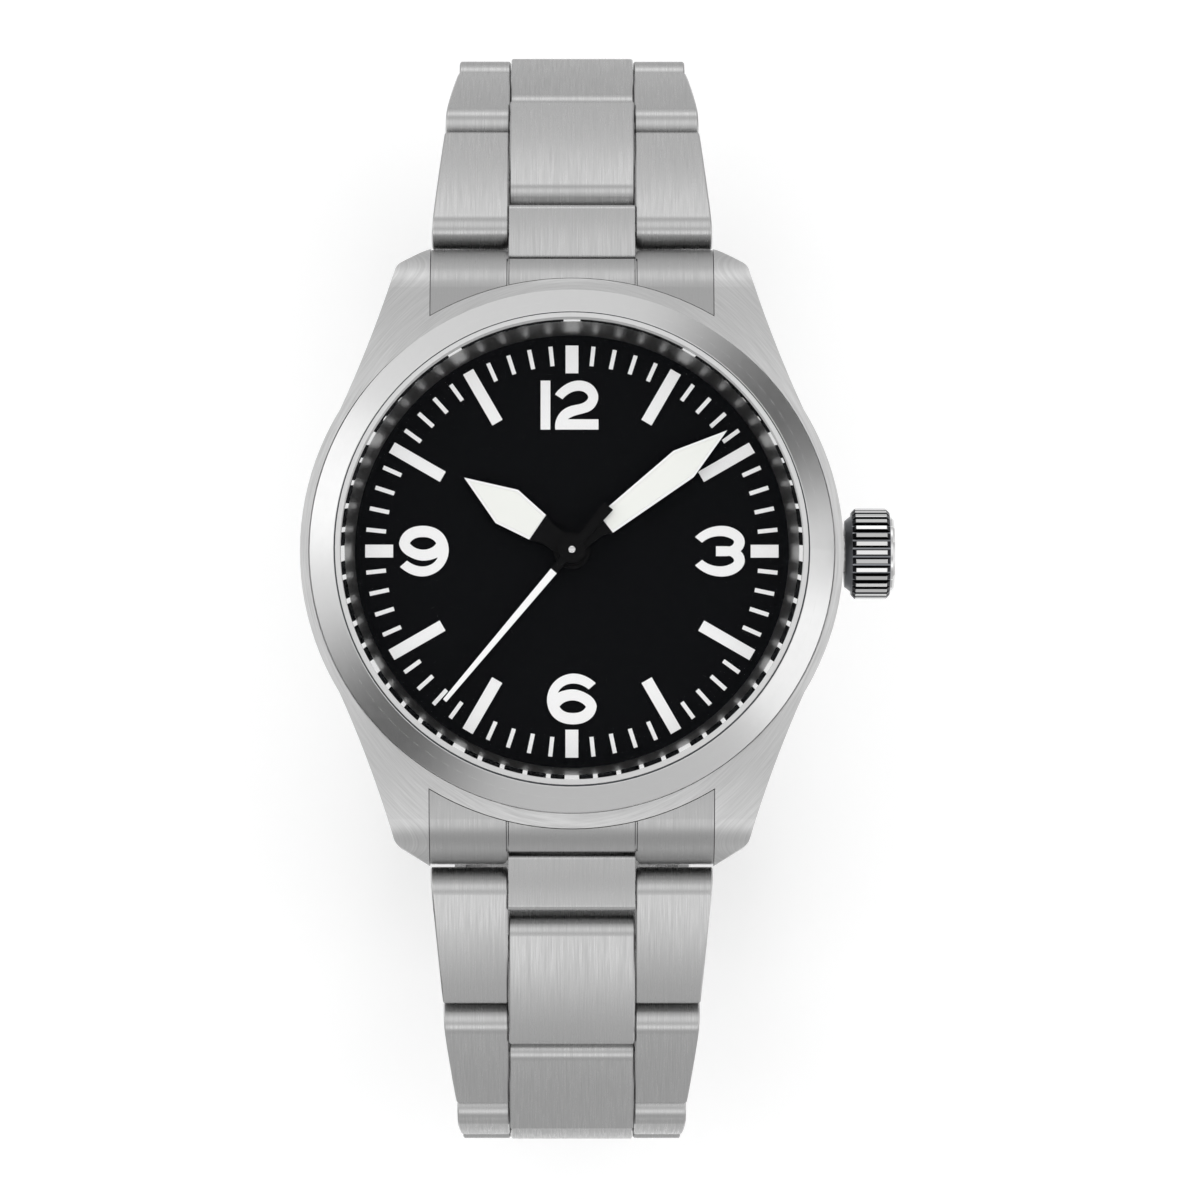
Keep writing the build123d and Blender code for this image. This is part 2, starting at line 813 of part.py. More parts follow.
def make_case_back():
    """The flat steel case back with its skirt and the recesses for a case key."""
    back = turned(
        (
            (0, 0),
            (back_radius - back_chamfer, 0),
            (back_radius, back_chamfer),
            (back_radius, case_floor_z),
            (back_skirt_outer_radius, case_floor_z),
            (back_skirt_outer_radius, back_skirt_top_z),
            (back_skirt_inner_radius, back_skirt_top_z),
            (back_skirt_inner_radius, case_floor_z),
            (0, case_floor_z),
        )
    )
    for key in range(back_key_count):
        turn = Rot(0, 0, 360 / back_key_count * key)
        back -= turn * Pos(back_key_ring_radius, 0, 0) * disc(back_key_radius, -overrun, back_key_depth)
    return back


def make_back_gasket():
    """The flat ring that seals the case back's skirt."""
    top = back_skirt_top_z + back_gasket_thickness - seat_fit
    return ring(back_skirt_outer_radius, back_gasket_inner_radius, back_skirt_top_z, top)


# Crown, tube and stem


def crown_tooth_points():
    """The crown's teeth seen along its axis: flat tops, steep flanks and flat floors."""
    floor_reach = crown_radius - crown_tooth_depth
    reaches = (crown_radius, crown_radius, floor_reach, floor_reach)
    points = []
    for tooth in range(crown_tooth_count):
        for reach, share in zip(reaches, crown_tooth_shares):
            turn = 2 * pi * (tooth + share) / crown_tooth_count
            points.append((reach * cos(turn), reach * sin(turn)))
    return points


def make_crown():
    """The knurled crown with its raised end, bored for the tube and the stem."""
    teeth = polygon(crown_tooth_points())
    knurl = Pos(crown_cone_x, 0, 0) * extrude(Plane.YZ * teeth, crown_knurl_end_x - crown_cone_x)
    envelope = turned_on_x(
        (
            (crown_cone_x, 0),
            (crown_cone_x, crown_radius - crown_end_chamfer),
            (crown_cone_x + crown_end_chamfer, crown_radius),
            (crown_knurl_end_x - crown_end_chamfer, crown_radius),
            (crown_knurl_end_x, crown_radius - crown_end_chamfer),
            (crown_knurl_end_x, 0),
        )
    )
    cone = turned_on_x(
        (
            (crown_inner_x, 0),
            (crown_inner_x, crown_radius - crown_cone_inset),
            (crown_cone_x, crown_radius - crown_neck_inset),
            (crown_cone_x, 0),
        )
    )
    boss_radius = crown_radius - crown_boss_inset
    boss = turned_on_x(
        (
            (crown_knurl_end_x, 0),
            (crown_knurl_end_x, boss_radius),
            (crown_end_x - crown_boss_round, boss_radius),
            (crown_end_x, boss_radius - crown_boss_round),
            (crown_end_x, 0),
        )
    )
    body = (knurl & envelope) + cone + boss
    body -= rod(tube_radius + crown_bore_clearance, crown_inner_x - overrun, crown_bore_end_x)
    groove_low = crown_gasket_x - seat_fit
    groove_high = crown_gasket_x + crown_gasket_width + seat_fit
    body -= rod(tube_radius + crown_gasket_depth + seat_fit, groove_low, groove_high)
    body -= rod(stem_radius + seat_fit, crown_inner_x, stem_end_x)
    return Pos(0, 0, crown_z) * body


def make_crown_gasket():
    """The rubber ring inside the crown that slides on the tube."""
    seal = rod(tube_radius + crown_gasket_depth, crown_gasket_x, crown_gasket_x + crown_gasket_width)
    seal -= rod(tube_radius + seat_fit, crown_inner_x, crown_bore_end_x)
    return Pos(0, 0, crown_z) * seal


def make_crown_tube():
    """The steel tube that is pressed into the case band."""
    tube = rod(tube_radius, tube_inner_x, tube_outer_x)
    tube -= rod(tube_bore_radius, tube_inner_x - overrun, tube_outer_x + overrun)
    return Pos(0, 0, crown_z) * tube


def make_stem():
    """The winding stem, from the movement to the crown's core."""
    return rod(stem_radius, stem_inner_x, stem_end_x, 0, crown_z)


# Movement


def at_polar(distance, angle):
    """A place on the movement at a distance and an angle from its middle."""
    return Pos(distance * cos(radians(angle)), distance * sin(radians(angle)), 0)


def barrel_place():
    """Where the mainspring barrel stands."""
    return at_polar(barrel_distance, barrel_angle)


def balance_place():
    """Where the balance stands."""
    return at_polar(balance_distance, balance_angle)


def make_movement_ring():
    """The plastic ring that centres the movement in the case."""
    outer = movement_bore_radius - movement_ring_gap
    body = ring(outer, movement_radius + movement_ring_gap, case_floor_z + seat_fit, dial_seat_z - seat_fit)
    return body - rod(tube_radius + running_fit, 0, case_radius, 0, crown_z)


def make_main_plate():
    """The movement's main plate, bored for the wheels, the stem and the dial feet."""
    plate = disc(movement_radius, plate_bottom_z, dial_seat_z - seat_fit)
    plate -= disc(movement_radius - plate_rim_width, plate_top_z, dial_seat_z)
    plate -= disc(cannon_radius + running_fit, plate_bottom_z - overrun, plate_top_z + overrun)
    recess_top = barrel_top_z + running_fit
    plate -= disc(centre_pinion_radius + gear_tooth_depth, plate_bottom_z - overrun, recess_top)
    well = disc(barrel_radius + gear_tooth_depth, plate_bottom_z - overrun, recess_top)
    plate -= barrel_place() * well
    arbor_hole = disc(barrel_arbor_radius + running_fit, plate_bottom_z, recess_top + pivot_depth)
    plate -= barrel_place() * arbor_hole
    staff_hole = disc(balance_staff_radius + running_fit, plate_bottom_z - overrun,
                      plate_bottom_z + pivot_depth)
    plate -= balance_place() * staff_hole
    plate -= rod(stem_radius + running_fit, stem_inner_x - running_fit, movement_radius + overrun, 0, crown_z)
    hole = disc(dial_foot_radius + running_fit, dial_seat_z - dial_foot_length - running_fit, dial_top_z)
    for place in dial_foot_places():
        plate -= place * hole
    return plate


def make_train_bridge():
    """The bridge that carries the wheels' lower pivots and the rotor's post."""
    bridge = disc(bridge_radius, bridge_bottom_z, bridge_top_z)
    wall_inner = bridge_radius - bridge_wall_width
    bridge += ring(bridge_radius, wall_inner, bridge_top_z, plate_bottom_z - seat_fit)
    bridge += disc(rotor_post_radius, rotor_post_bottom_z, bridge_bottom_z)
    bridge -= disc(seconds_arbor_radius + running_fit, seconds_arbor_bottom_z - running_fit, plate_bottom_z)
    low = bridge_top_z - pivot_depth
    bridge -= barrel_place() * disc(barrel_arbor_radius + running_fit, low, plate_bottom_z)
    bridge -= balance_place() * disc(balance_staff_radius + running_fit, low, plate_bottom_z)
    return bridge


def make_barrel():
    """The toothed mainspring barrel on its arbor."""
    body = gear(barrel_radius, barrel_teeth, barrel_bottom_z, barrel_top_z, barrel_arbor_radius)
    arbor_low = bridge_top_z - pivot_depth + seat_fit
    arbor_high = barrel_top_z + pivot_depth
    return barrel_place() * (body + disc(barrel_arbor_radius, arbor_low, arbor_high))


def make_centre_wheel():
    """The centre wheel, its pinion and the hollow cannon that carries the minute hand."""
    cannon_bore = cannon_radius - cannon_wall
    wheel = gear(centre_wheel_radius, centre_wheel_teeth, centre_wheel_z, centre_wheel_z + wheel_thickness,
                 cannon_bore)
    wheel += ring(centre_pinion_radius, cannon_bore, centre_wheel_z, barrel_top_z)
    return wheel + ring(cannon_radius, cannon_bore, centre_wheel_z, minute_hand_z + hand_thickness)


def make_seconds_wheel():
    """The fourth wheel on the thin centre arbor that carries the seconds hand."""
    wheel = gear(seconds_wheel_radius, seconds_wheel_teeth, seconds_wheel_z,
                 seconds_wheel_z + wheel_thickness, seconds_arbor_radius)
    return wheel + disc(seconds_arbor_radius, seconds_arbor_bottom_z, seconds_arbor_top_z)


def make_hour_wheel():
    """The hour wheel under the dial with the pipe that carries the hour hand."""
    bore = cannon_radius + running_fit
    wheel = gear(hour_wheel_radius, hour_wheel_teeth, hour_wheel_z, hour_wheel_z + hour_wheel_thickness, bore)
    return wheel + ring(hour_pipe_radius, bore, hour_wheel_z, hour_hand_z + hand_thickness)


def make_balance():
    """The balance wheel with two spokes on its staff."""
    top = balance_z + balance_thickness
    wheel = ring(balance_radius, balance_radius - balance_rim_width, balance_z, top)
    half = balance_spoke_width / 2
    reach = balance_radius - balance_rim_width / 2
    wheel += block(-reach, reach, -half, half, balance_z, top)
    wheel += disc(balance_hub_radius, balance_z, top)
    staff_low = bridge_top_z - pivot_depth + seat_fit
    wheel += disc(balance_staff_radius, staff_low, plate_bottom_z + pivot_depth - seat_fit)
    return balance_place() * wheel


def make_rotor():
    """The half-round winding weight with its heavy rim and two windows."""
    reach = rotor_radius + overrun
    weight = disc(rotor_radius, rotor_web_bottom_z, rotor_top_z)
    weight += ring(rotor_radius, rotor_rim_inner_radius, rotor_rim_bottom_z, rotor_top_z)
    weight &= block(-reach, reach, -reach, 0, 0, bridge_bottom_z)
    weight += disc(rotor_hub_radius, rotor_web_bottom_z, rotor_top_z)
    slot_middle = (rotor_slot_inner_radius + rotor_slot_outer_radius) / 2
    slot_half = (rotor_slot_outer_radius - rotor_slot_inner_radius) / 2
    spread = tan_of(rotor_slot_half_angle)
    window = polygon(
        (
            (slot_middle - slot_half, -rotor_slot_inner_radius * spread),
            (slot_middle + slot_half, -rotor_slot_outer_radius * spread),
            (slot_middle + slot_half, rotor_slot_outer_radius * spread),
            (slot_middle - slot_half, rotor_slot_inner_radius * spread),
        )
    )
    for angle in (-rotor_slot_angle, rotor_slot_angle - 180):
        weight -= Rot(0, 0, angle) * extrude(window, bridge_bottom_z)
    return weight - disc(rotor_post_radius + running_fit, 0, bridge_bottom_z)


def tan_of(angle):
    """The tangent of an angle in degrees."""
    return sin(radians(angle)) / cos(radians(angle))


# Spring bars and end links


def make_spring_bar(half_gap, reach):
    """A spring bar along X: a barrel between two faces, and a tip that reaches past each."""
    barrel = rod(bar_radius, -half_gap + bar_shoulder_gap, half_gap - bar_shoulder_gap)
    return barrel + rod(bar_tip_radius, -half_gap - reach, half_gap + reach)


def make_end_link():
    """The piece that fills the gap between two lugs at +Y and carries the first link's knuckle."""
    inner = between_lugs_radius + end_link_case_gap
    half = link_inner_half_width
    plan = Rectangle(2 * end_link_half_width, 2 * end_link_tip_y) - Circle(inner)
    plan -= Rectangle(2 * half, 2 * lug_tip_y) - Rectangle(2 * half, 2 * end_link_centre_y)
    horn_corners = plan.vertices().group_by(Axis.Y)[-1].sort_by(Axis.X)[1:3]
    plan = fillet(horn_corners, end_link_corner_round)
    side = case_side_view(end_link_top_drop)
    body = extrude(plan, case_top_z) & across(side, end_link_half_width)
    body &= block(-lug_inner_half_width, lug_inner_half_width, 0, lug_tip_y, end_link_bottom_z, case_top_z)
    arch_top = strap_pivot_z + end_link_arch_radius
    body -= rod(end_link_arch_radius, -half, half, strap_pivot_y, strap_pivot_z)
    body -= block(-half, half, strap_pivot_y, lug_tip_y, 0, arch_top)
    body -= rod(bar_bore_radius, -lug_inner_half_width, lug_inner_half_width, strap_pivot_y, strap_pivot_z)
    floor = case_side_view(end_link_top_drop + end_link_groove_depth)
    groove = across_between(floor, half - end_link_groove_width / 2, half + end_link_groove_width / 2)
    keep = block(half - end_link_groove_width, half + end_link_groove_width, 0, end_link_centre_y,
                 arch_top - end_link_groove_depth, case_top_z)
    return body - both_sides(keep - groove & keep - groove)


# Bracelet links


def bracelet_path(side, angles):
    """Each link's pivot and place on one side, and the pivot after the last one."""
    y, z = side * strap_pivot_y, strap_pivot_z
    places = []
    for index, angle in enumerate(angles):
        along = (side * cos(radians(angle)), -sin(radians(angle)))
        outward = (0, side * sin(radians(angle)), cos(radians(angle)))
        places.append(Plane(origin=(0, y, z), x_dir=(side, 0, 0), z_dir=outward).location)
        length = hinge_link_length if index == 0 else link_pitch
        y, z = y + length * along[0], z + length * along[1]
    return places, (y, z)


def link_side_view(start, far, near_round, far_round, crown):
    """A link seen from the side: a crowned top, a flat underside and rounded ends."""
    half = link_half_thickness
    top = ThreePointArc((start, half), ((start + far) / 2, half + crown), (far, half))
    rest = Polyline((far, half), (far, -half), (start, -half), (start, half))
    view = make_face(top + rest)
    view = fillet(view.vertices().group_by(Axis.X)[-1], far_round)
    return fillet(view.vertices().group_by(Axis.X)[0], near_round)


def width_at(unit, y):
    """A link's half width at a place along it, for a bracelet that narrows towards the clasp."""
    last = len(bracelet_half_widths) - 1
    near = bracelet_half_widths[min(unit, last)]
    far = bracelet_half_widths[min(unit + 1, last)]
    share = (y + link_near_reach) / (outer_far_y + link_near_reach)
    return near + (far - near) * share


def make_outer_link(unit):
    """The right-hand outer link of a unit, at X above zero, bored for its two pins."""
    low, high = -link_near_reach, outer_far_y
    plan = polygon(
        (
            (link_inner_half_width, low),
            (width_at(unit, low), low),
            (width_at(unit, high), high),
            (link_inner_half_width, high),
        )
    )
    view = link_side_view(low, high, link_roll_radius, link_far_round, link_crown_height)
    tall = 2 * (link_half_thickness + link_crown_height)
    body = across(view, bracelet_half_widths[0] + overrun) & extrude(plan, tall, both=True)
    sides = body.faces().sort_by(Axis.X)
    body = chamfer(sides[-1].edges() + sides[0].edges(), link_edge_chamfer)
    body -= rod(pin_press_radius, 0, case_radius)
    return body - rod(pin_press_radius, 0, case_radius, fixed_pin_y)


def make_link_pin(unit, y):
    """A straight pin across a unit, a little short of the links' outer faces."""
    reach = width_at(unit, y) - link_pin_recess
    return rod(link_pin_radius, -reach, reach, y)


def make_centre_link(far_bore):
    """A centre link, bored for the pin that holds it and the pin that it turns on."""
    view = link_side_view(centre_near_start, centre_far_y, centre_near_round, centre_far_round,
                          link_crown_height)
    body = across(view, centre_link_half_width)
    sides = body.faces().sort_by(Axis.X)
    body = chamfer(sides[-1].edges() + sides[0].edges(), link_edge_chamfer)
    body -= rod(pin_press_radius, -case_radius, case_radius, fixed_pin_y)
    return body - rod(far_bore, -case_radius, case_radius, link_pitch)


def make_hinge_link():
    """The short first centre link, with a knuckle on the spring bar under the end link."""
    far = hinge_link_length + link_half_thickness
    view = link_side_view(hinge_link_face, far, hinge_link_round, centre_far_round, hinge_link_crown)
    body = across(view + Circle(hinge_knuckle_radius), centre_link_half_width)
    body -= rod(bar_bore_radius, -case_radius, case_radius)
    return body - rod(pin_bore_radius, -case_radius, case_radius, hinge_link_length)


def save_bracelet_side(name, side, angles, last_bar):
    """Write one side's hinge link and all its units, each at its place."""
    places, _ = bracelet_path(side, angles)
    save(f"hinge_link_{name}", places[0] * make_hinge_link())
    units = len(angles) - 1
    for unit in range(units):
        place = places[unit + 1]
        pieces = both_sides(make_outer_link(unit)).solids()
        pieces += make_link_pin(unit, 0).solids()
        pieces += make_link_pin(unit, fixed_pin_y).solids()
        is_last = unit == units - 1
        if is_last:
            pieces += last_bar.moved(Pos(0, link_pitch, 0)).solids()
        far_bore = bar_bore_radius if is_last else pin_bore_radius
        save(f"link_{name}_{unit + 1}_outers", *[place * piece for piece in pieces])
        save(f"link_{name}_{unit + 1}_centre", place * make_centre_link(far_bore))


# Clasp


def clasp_ends():
    """The two pivots that the clasp joins: the twelve-side bar and the six-side bar."""
    return bracelet_path(1, twelve_side_angles)[1], bracelet_path(-1, six_side_angles)[1]


def clasp_place():
    """The clasp's own frame: origin at the middle of its curve, Y along it, Z outwards."""
    (y_a, z_a), (y_b, z_b) = clasp_ends()
    half = hypot(y_b - y_a, z_b - z_a) / 2
    along = ((y_b - y_a) / (2 * half), (z_b - z_a) / (2 * half))
    outward = (0, along[1], -along[0]) if along[0] > 0 else (0, -along[1], along[0])
    rise = sqrt(clasp_curve_radius**2 - half**2)
    origin = (0, (y_a + y_b) / 2 - outward[1] * rise, (z_a + z_b) / 2 - outward[2] * rise)
    return Plane(origin=origin, x_dir=(1, 0, 0), z_dir=outward).location


def clasp_half_angle():
    """Half of the angle that the clasp's curve spans between its pivots, in radians."""
    (y_a, z_a), (y_b, z_b) = clasp_ends()
    return asin(hypot(y_b - y_a, z_b - z_a) / 2 / clasp_curve_radius)


def clasp_point(arc, offset):
    """A place in the clasp's frame: a distance along the curve from the first pivot, and out from it."""
    angle = arc / clasp_curve_radius - clasp_half_angle()
    reach = clasp_curve_radius + offset
    return reach * sin(angle), reach * cos(angle)


def clasp_length():
    """The length along the curve between the two pivots."""
    return 2 * clasp_half_angle() * clasp_curve_radius


def strip_view(start, end, low, high):
    """A curved strip of the clasp seen from the side."""
    middle = (start + end) / 2
    lower = ThreePointArc(clasp_point(start, low), clasp_point(middle, low), clasp_point(end, low))
    upper = ThreePointArc(clasp_point(start, high), clasp_point(middle, high), clasp_point(end, high))
    first = Line(clasp_point(start, low), clasp_point(start, high))
    last = Line(clasp_point(end, low), clasp_point(end, high))
    return make_face(lower + upper + first + last)


def clasp_rod(radius, x_low, x_high, arc, offset):
    """A round bar across the clasp at a place on its curve."""
    return rod(radius, x_low, x_high, *clasp_point(arc, offset))


def cover_hinge_arc():
    """Where along the curve the cover's hinge lies."""
    return clasp_length() - cover_hinge_inset


def button_place(x):
    """The frame of a push button: X across the clasp, Y along its curve."""
    angle = button_position / clasp_curve_radius - clasp_half_angle()
    y, z = clasp_point(button_position, button_offset)
    return Pos(x, y, z) * Rot(-degrees(angle), 0, 0)


def make_clasp_cover():
    """The curved outer cover with its side walls, hinge holes and button slots."""
    end = clasp_length() - cover_end_gap
    roof_top = cover_roof_inner + cover_roof_thickness
    roof = across(strip_view(cover_roof_start, end, cover_roof_inner, roof_top), cover_half_width)
    long_edges = roof.faces().sort_by(Axis.Z)[-1].edges().filter_by(GeomType.CIRCLE)
    roof = fillet(long_edges, cover_edge_round)
    wall_view = strip_view(-cover_wall_lead, end, -cover_skirt, roof_top - cover_edge_round)
    wall = across_between(wall_view, cover_inner_half_width, cover_half_width)
    cover = roof + both_sides(wall)
    reach = cover_half_width + overrun
    cover -= clasp_rod(bar_tip_bore_radius, -reach, reach, 0, 0)
    cover -= clasp_rod(knuckle_pin_radius + running_fit, -reach, reach, cover_hinge_arc(), cover_hinge_offset)
    slot = Box(
        2 * reach, button_length + 2 * button_clearance, button_height + 2 * button_clearance
    )
    return cover - button_place(0) * slot


def make_outer_blade():
    """The blade next to the cover, with a knuckle at each end and the two hinge pins."""
    first, last = blade_hinge_inset, cover_hinge_arc()
    half_sheet = blade_thickness / 2
    sheet = across(strip_view(first, last, -half_sheet, half_sheet), blade_half_width)
    clear = knuckle_radius + blade_gap / 2
    hinge_drop = -blade_hinge_offset
    for x_low in (-blade_half_width - overrun, blade_hinge_split):
        x_high = x_low + blade_half_width - blade_hinge_split + overrun
        sheet -= clasp_rod(clear, x_low, x_high, first, hinge_drop)
    split = blade_hinge_split - running_fit
    sheet += clasp_rod(knuckle_radius, -split, split, first, hinge_drop)
    window = strip_view(first + blade_window_end_margin, last - blade_window_end_margin,
                        -blade_thickness, blade_thickness)
    sheet -= across(window, blade_window_half_width)
    knuckle_half = cover_inner_half_width - link_side_gap
    sheet += clasp_rod(knuckle_radius, -knuckle_half, knuckle_half, last, cover_hinge_offset)
    bore = knuckle_pin_radius + seat_fit
    sheet -= clasp_rod(bore, -case_radius, case_radius, first, hinge_drop)
    sheet -= clasp_rod(bore, -case_radius, case_radius, last, cover_hinge_offset)
    pin_reach = cover_half_width - link_side_gap
    cover_pin = clasp_rod(knuckle_pin_radius, -pin_reach, pin_reach, last, cover_hinge_offset)
    blade_pin = clasp_rod(knuckle_pin_radius, -blade_half_width, blade_half_width, first, hinge_drop)
    return [sheet, cover_pin, blade_pin]


def make_inner_blade():
    """The blade that lies on the wrist, from the shared hinge to the fork at the six side."""
    first, last = blade_hinge_inset, clasp_length()
    hinge_drop = -blade_hinge_offset
    top = -blade_thickness / 2 - blade_gap
    sheet = across(strip_view(first, last, top - blade_thickness, top), blade_half_width)
    clear = knuckle_radius + blade_gap / 2
    split = blade_hinge_split + running_fit
    sheet -= clasp_rod(clear, -split, split, first, hinge_drop)
    for x_low in (-blade_half_width, split):
        sheet += clasp_rod(knuckle_radius, x_low, x_low + blade_half_width - split, first, hinge_drop)
    window = strip_view(first + blade_window_end_margin, last - blade_window_end_margin,
                        top - 2 * blade_thickness, 0)
    sheet -= across(window, blade_window_half_width)
    fork_inner = link_inner_half_width + link_side_gap
    for x_low in (-blade_fork_half_width, fork_inner):
        sheet += clasp_rod(knuckle_radius, x_low, x_low + blade_fork_half_width - fork_inner, last, 0)
    sheet -= clasp_rod(fork_notch_radius, -fork_inner, fork_inner, last, 0)
    sheet -= clasp_rod(knuckle_pin_radius + running_fit, -case_radius, case_radius, first, hinge_drop)
    return sheet - clasp_rod(bar_tip_bore_radius, -case_radius, case_radius, last, 0)


def make_button(sign):
    """A sprung push button in the cover's side wall."""
    pad_length = cover_wall + button_proud + button_clearance
    pad = Pos(sign * pad_length / 2, 0, 0) * Box(pad_length, button_length, button_height)
    flange = Pos(-sign * button_flange_thickness / 2, 0, 0) * Box(
        button_flange_thickness, button_flange_length, button_flange_height
    )
    return button_place(sign * (cover_inner_half_width - button_clearance)) * (pad + flange)


def make_button_spring():
    """The bowed leaf under the cover's roof that pushes both buttons out."""
    high = cover_roof_inner - button_offset - seat_fit
    half, foot, bow = spring_half_length, spring_foot_half_length, spring_bow
    low = high - spring_thickness
    view = polygon(
        (
            (-half, high - bow),
            (-foot, high),
            (foot, high),
            (half, high - bow),
            (half, low - bow),
            (foot, low),
            (-foot, low),
            (-half, low - bow),
        )
    )
    leaf = extrude(Plane.XZ * view, spring_width / 2, both=True)
    return button_place(0) * leaf


def main():
    """Build every sub-part and write it to the parts folder."""
    os.makedirs("parts", exist_ok=True)
    save("case_middle", make_case_middle())
    save("bezel", make_bezel())
    save("crystal", make_crystal())
    save("crystal_gasket", make_crystal_gasket())
    save("inner_flange", make_flange())
    save("dial", make_dial())
    save("dial_markings", *make_dial_markings())
    hour_bore = hour_pipe_radius + seat_fit
    hour_blade = (hour_base_y, hour_base_half_width, hour_shoulder_y, hour_shoulder_half_width, hour_tip_y)
    hand, lume = make_spear_hand(hour_hub_radius, hour_bore, hour_hand_z, hour_hand_angle,
                                 hour_neck_half_width, *hour_blade)
    save("hour_hand", hand)
    save("hour_hand_lume", lume)
    minute_bore = cannon_radius + seat_fit
    minute_blade = (minute_base_y, minute_base_half_width, minute_shoulder_y, minute_shoulder_half_width,
                    minute_tip_y)
    hand, lume = make_spear_hand(minute_hub_radius, minute_bore, minute_hand_z, minute_hand_angle,
                                 minute_neck_half_width, *minute_blade)
    save("minute_hand", hand)
    save("minute_hand_lume", lume)
    save("seconds_hand", make_seconds_hand())
    save("case_back", make_case_back())
    save("case_back_gasket", make_back_gasket())
    save("crown", make_crown())
    save("crown_gasket", make_crown_gasket())
    save("crown_tube", make_crown_tube())
    save("winding_stem", make_stem())
    save("movement_ring", make_movement_ring())
    save("main_plate", make_main_plate())
    save("train_bridge", make_train_bridge())
    save("mainspring_barrel", make_barrel())
    save("centre_wheel", make_centre_wheel())
    save("seconds_wheel", make_seconds_wheel())
    save("hour_wheel", make_hour_wheel())
    save("balance_wheel", make_balance())
    save("winding_rotor", make_rotor())
    lug_bar = Pos(0, strap_pivot_y, strap_pivot_z) * make_spring_bar(lug_inner_half_width, bar_tip_engagement)
    save("lug_spring_bars", lug_bar, Rot(0, 0, 180) * lug_bar)
    end_link = make_end_link()
    save("end_link_12", end_link)
    save("end_link_6", Rot(0, 0, 180) * end_link)
    cover_bar = make_spring_bar(cover_inner_half_width, cover_wall - link_side_gap)
    drawn_in_bar = make_spring_bar(centre_link_half_width, -link_side_gap)
    save_bracelet_side("12", 1, twelve_side_angles, cover_bar)
    save_bracelet_side("6", -1, six_side_angles, drawn_in_bar)
    place = clasp_place()
    save("clasp_cover", place * make_clasp_cover())
    save("clasp_outer_blade", *[place * piece for piece in make_outer_blade()])
    save("clasp_inner_blade", place * make_inner_blade())
    save("clasp_button_left", place * make_button(-1))
    save("clasp_button_right", place * make_button(1))
    save("clasp_button_spring", place * make_button_spring())


main()
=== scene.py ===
"""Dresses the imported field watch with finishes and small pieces, and sets a photo stage round it."""

import math

import bpy
from mathutils import Matrix, Vector


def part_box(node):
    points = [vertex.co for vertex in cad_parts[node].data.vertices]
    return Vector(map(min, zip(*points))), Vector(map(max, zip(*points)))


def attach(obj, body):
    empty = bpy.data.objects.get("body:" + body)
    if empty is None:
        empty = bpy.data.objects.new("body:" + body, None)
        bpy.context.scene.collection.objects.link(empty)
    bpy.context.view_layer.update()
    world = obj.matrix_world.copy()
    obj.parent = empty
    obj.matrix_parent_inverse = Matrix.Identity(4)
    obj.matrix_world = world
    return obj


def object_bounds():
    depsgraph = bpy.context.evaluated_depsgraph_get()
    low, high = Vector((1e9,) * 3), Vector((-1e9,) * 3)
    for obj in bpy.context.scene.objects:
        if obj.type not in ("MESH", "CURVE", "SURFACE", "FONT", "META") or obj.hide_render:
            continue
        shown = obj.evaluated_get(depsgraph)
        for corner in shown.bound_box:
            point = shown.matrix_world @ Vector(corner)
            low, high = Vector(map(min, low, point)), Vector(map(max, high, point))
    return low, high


bl_info = {
    "name": "Field watch dressing",
    "version": (1, 0, 0),
    "blender": (4, 5, 0),
    "location": "3D View > Sidebar > Watch",
    "description": "Finishes and small pieces for a field watch on a steel bracelet",
    "category": "Object",
}

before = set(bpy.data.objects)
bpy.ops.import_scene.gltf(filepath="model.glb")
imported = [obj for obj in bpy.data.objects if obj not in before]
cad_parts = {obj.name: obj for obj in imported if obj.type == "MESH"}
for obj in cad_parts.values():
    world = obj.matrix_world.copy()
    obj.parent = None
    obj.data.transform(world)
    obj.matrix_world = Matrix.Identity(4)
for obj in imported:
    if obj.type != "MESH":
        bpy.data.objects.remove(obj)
cad_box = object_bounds()
crown_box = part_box("crown")

MM = 0.001

# The bracelet's link units, and its oval loop as seen from the side.
LINKS_12 = 6
LINKS_6 = 5
LINK_BODIES = [f"link_12_{i + 1}" for i in range(LINKS_12)] + [f"link_6_{i + 1}" for i in range(LINKS_6)]
LOOP_MIDDLE = (0.0, (cad_box[0].y + cad_box[1].y) / 2, (cad_box[0].z + cad_box[1].z) / 2)
LOOP_STRETCH = (cad_box[1].y - cad_box[0].y) / (cad_box[1].z - cad_box[0].z)

# Small widths and depths of the head.
GLASS_BEVEL_WIDTH = 0.37 * MM
FLANGE_MIRROR_WIDTH = 0.5 * MM
CROWN_TOOTH_DEPTH = 0.28 * MM
CROWN_BOSS_HEIGHT = 0.3 * MM
ROTOR_CLEARANCE = 0.25 * MM

# Heights and radii of the head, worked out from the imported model.
CASE_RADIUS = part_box("case_middle")[1].x
DIAL_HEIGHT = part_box("dial")[1].z
GLASS_RIM_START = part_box("crystal")[1].x - GLASS_BEVEL_WIDTH
FLANGE_MIRROR_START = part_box("inner_flange")[1].x - FLANGE_MIRROR_WIDTH
CROWN_HEIGHT = (crown_box[0].z + crown_box[1].z) / 2
CROWN_RADIUS = (crown_box[1].y - crown_box[0].y) / 2
CROWN_FLOOR_RADIUS = CROWN_RADIUS - CROWN_TOOTH_DEPTH
CROWN_KNURL_END = crown_box[1].x - CROWN_BOSS_HEIGHT
BRIDGE_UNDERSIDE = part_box("winding_rotor")[1].z + ROTOR_CLEARANCE

# The flange's mirror band is centred a little towards twelve, off the dial's axis, to place its painted
# reflection edge where the camera sees it.
FLANGE_MIRROR_CENTRE = (0.0, 0.13 * MM, 0.0)

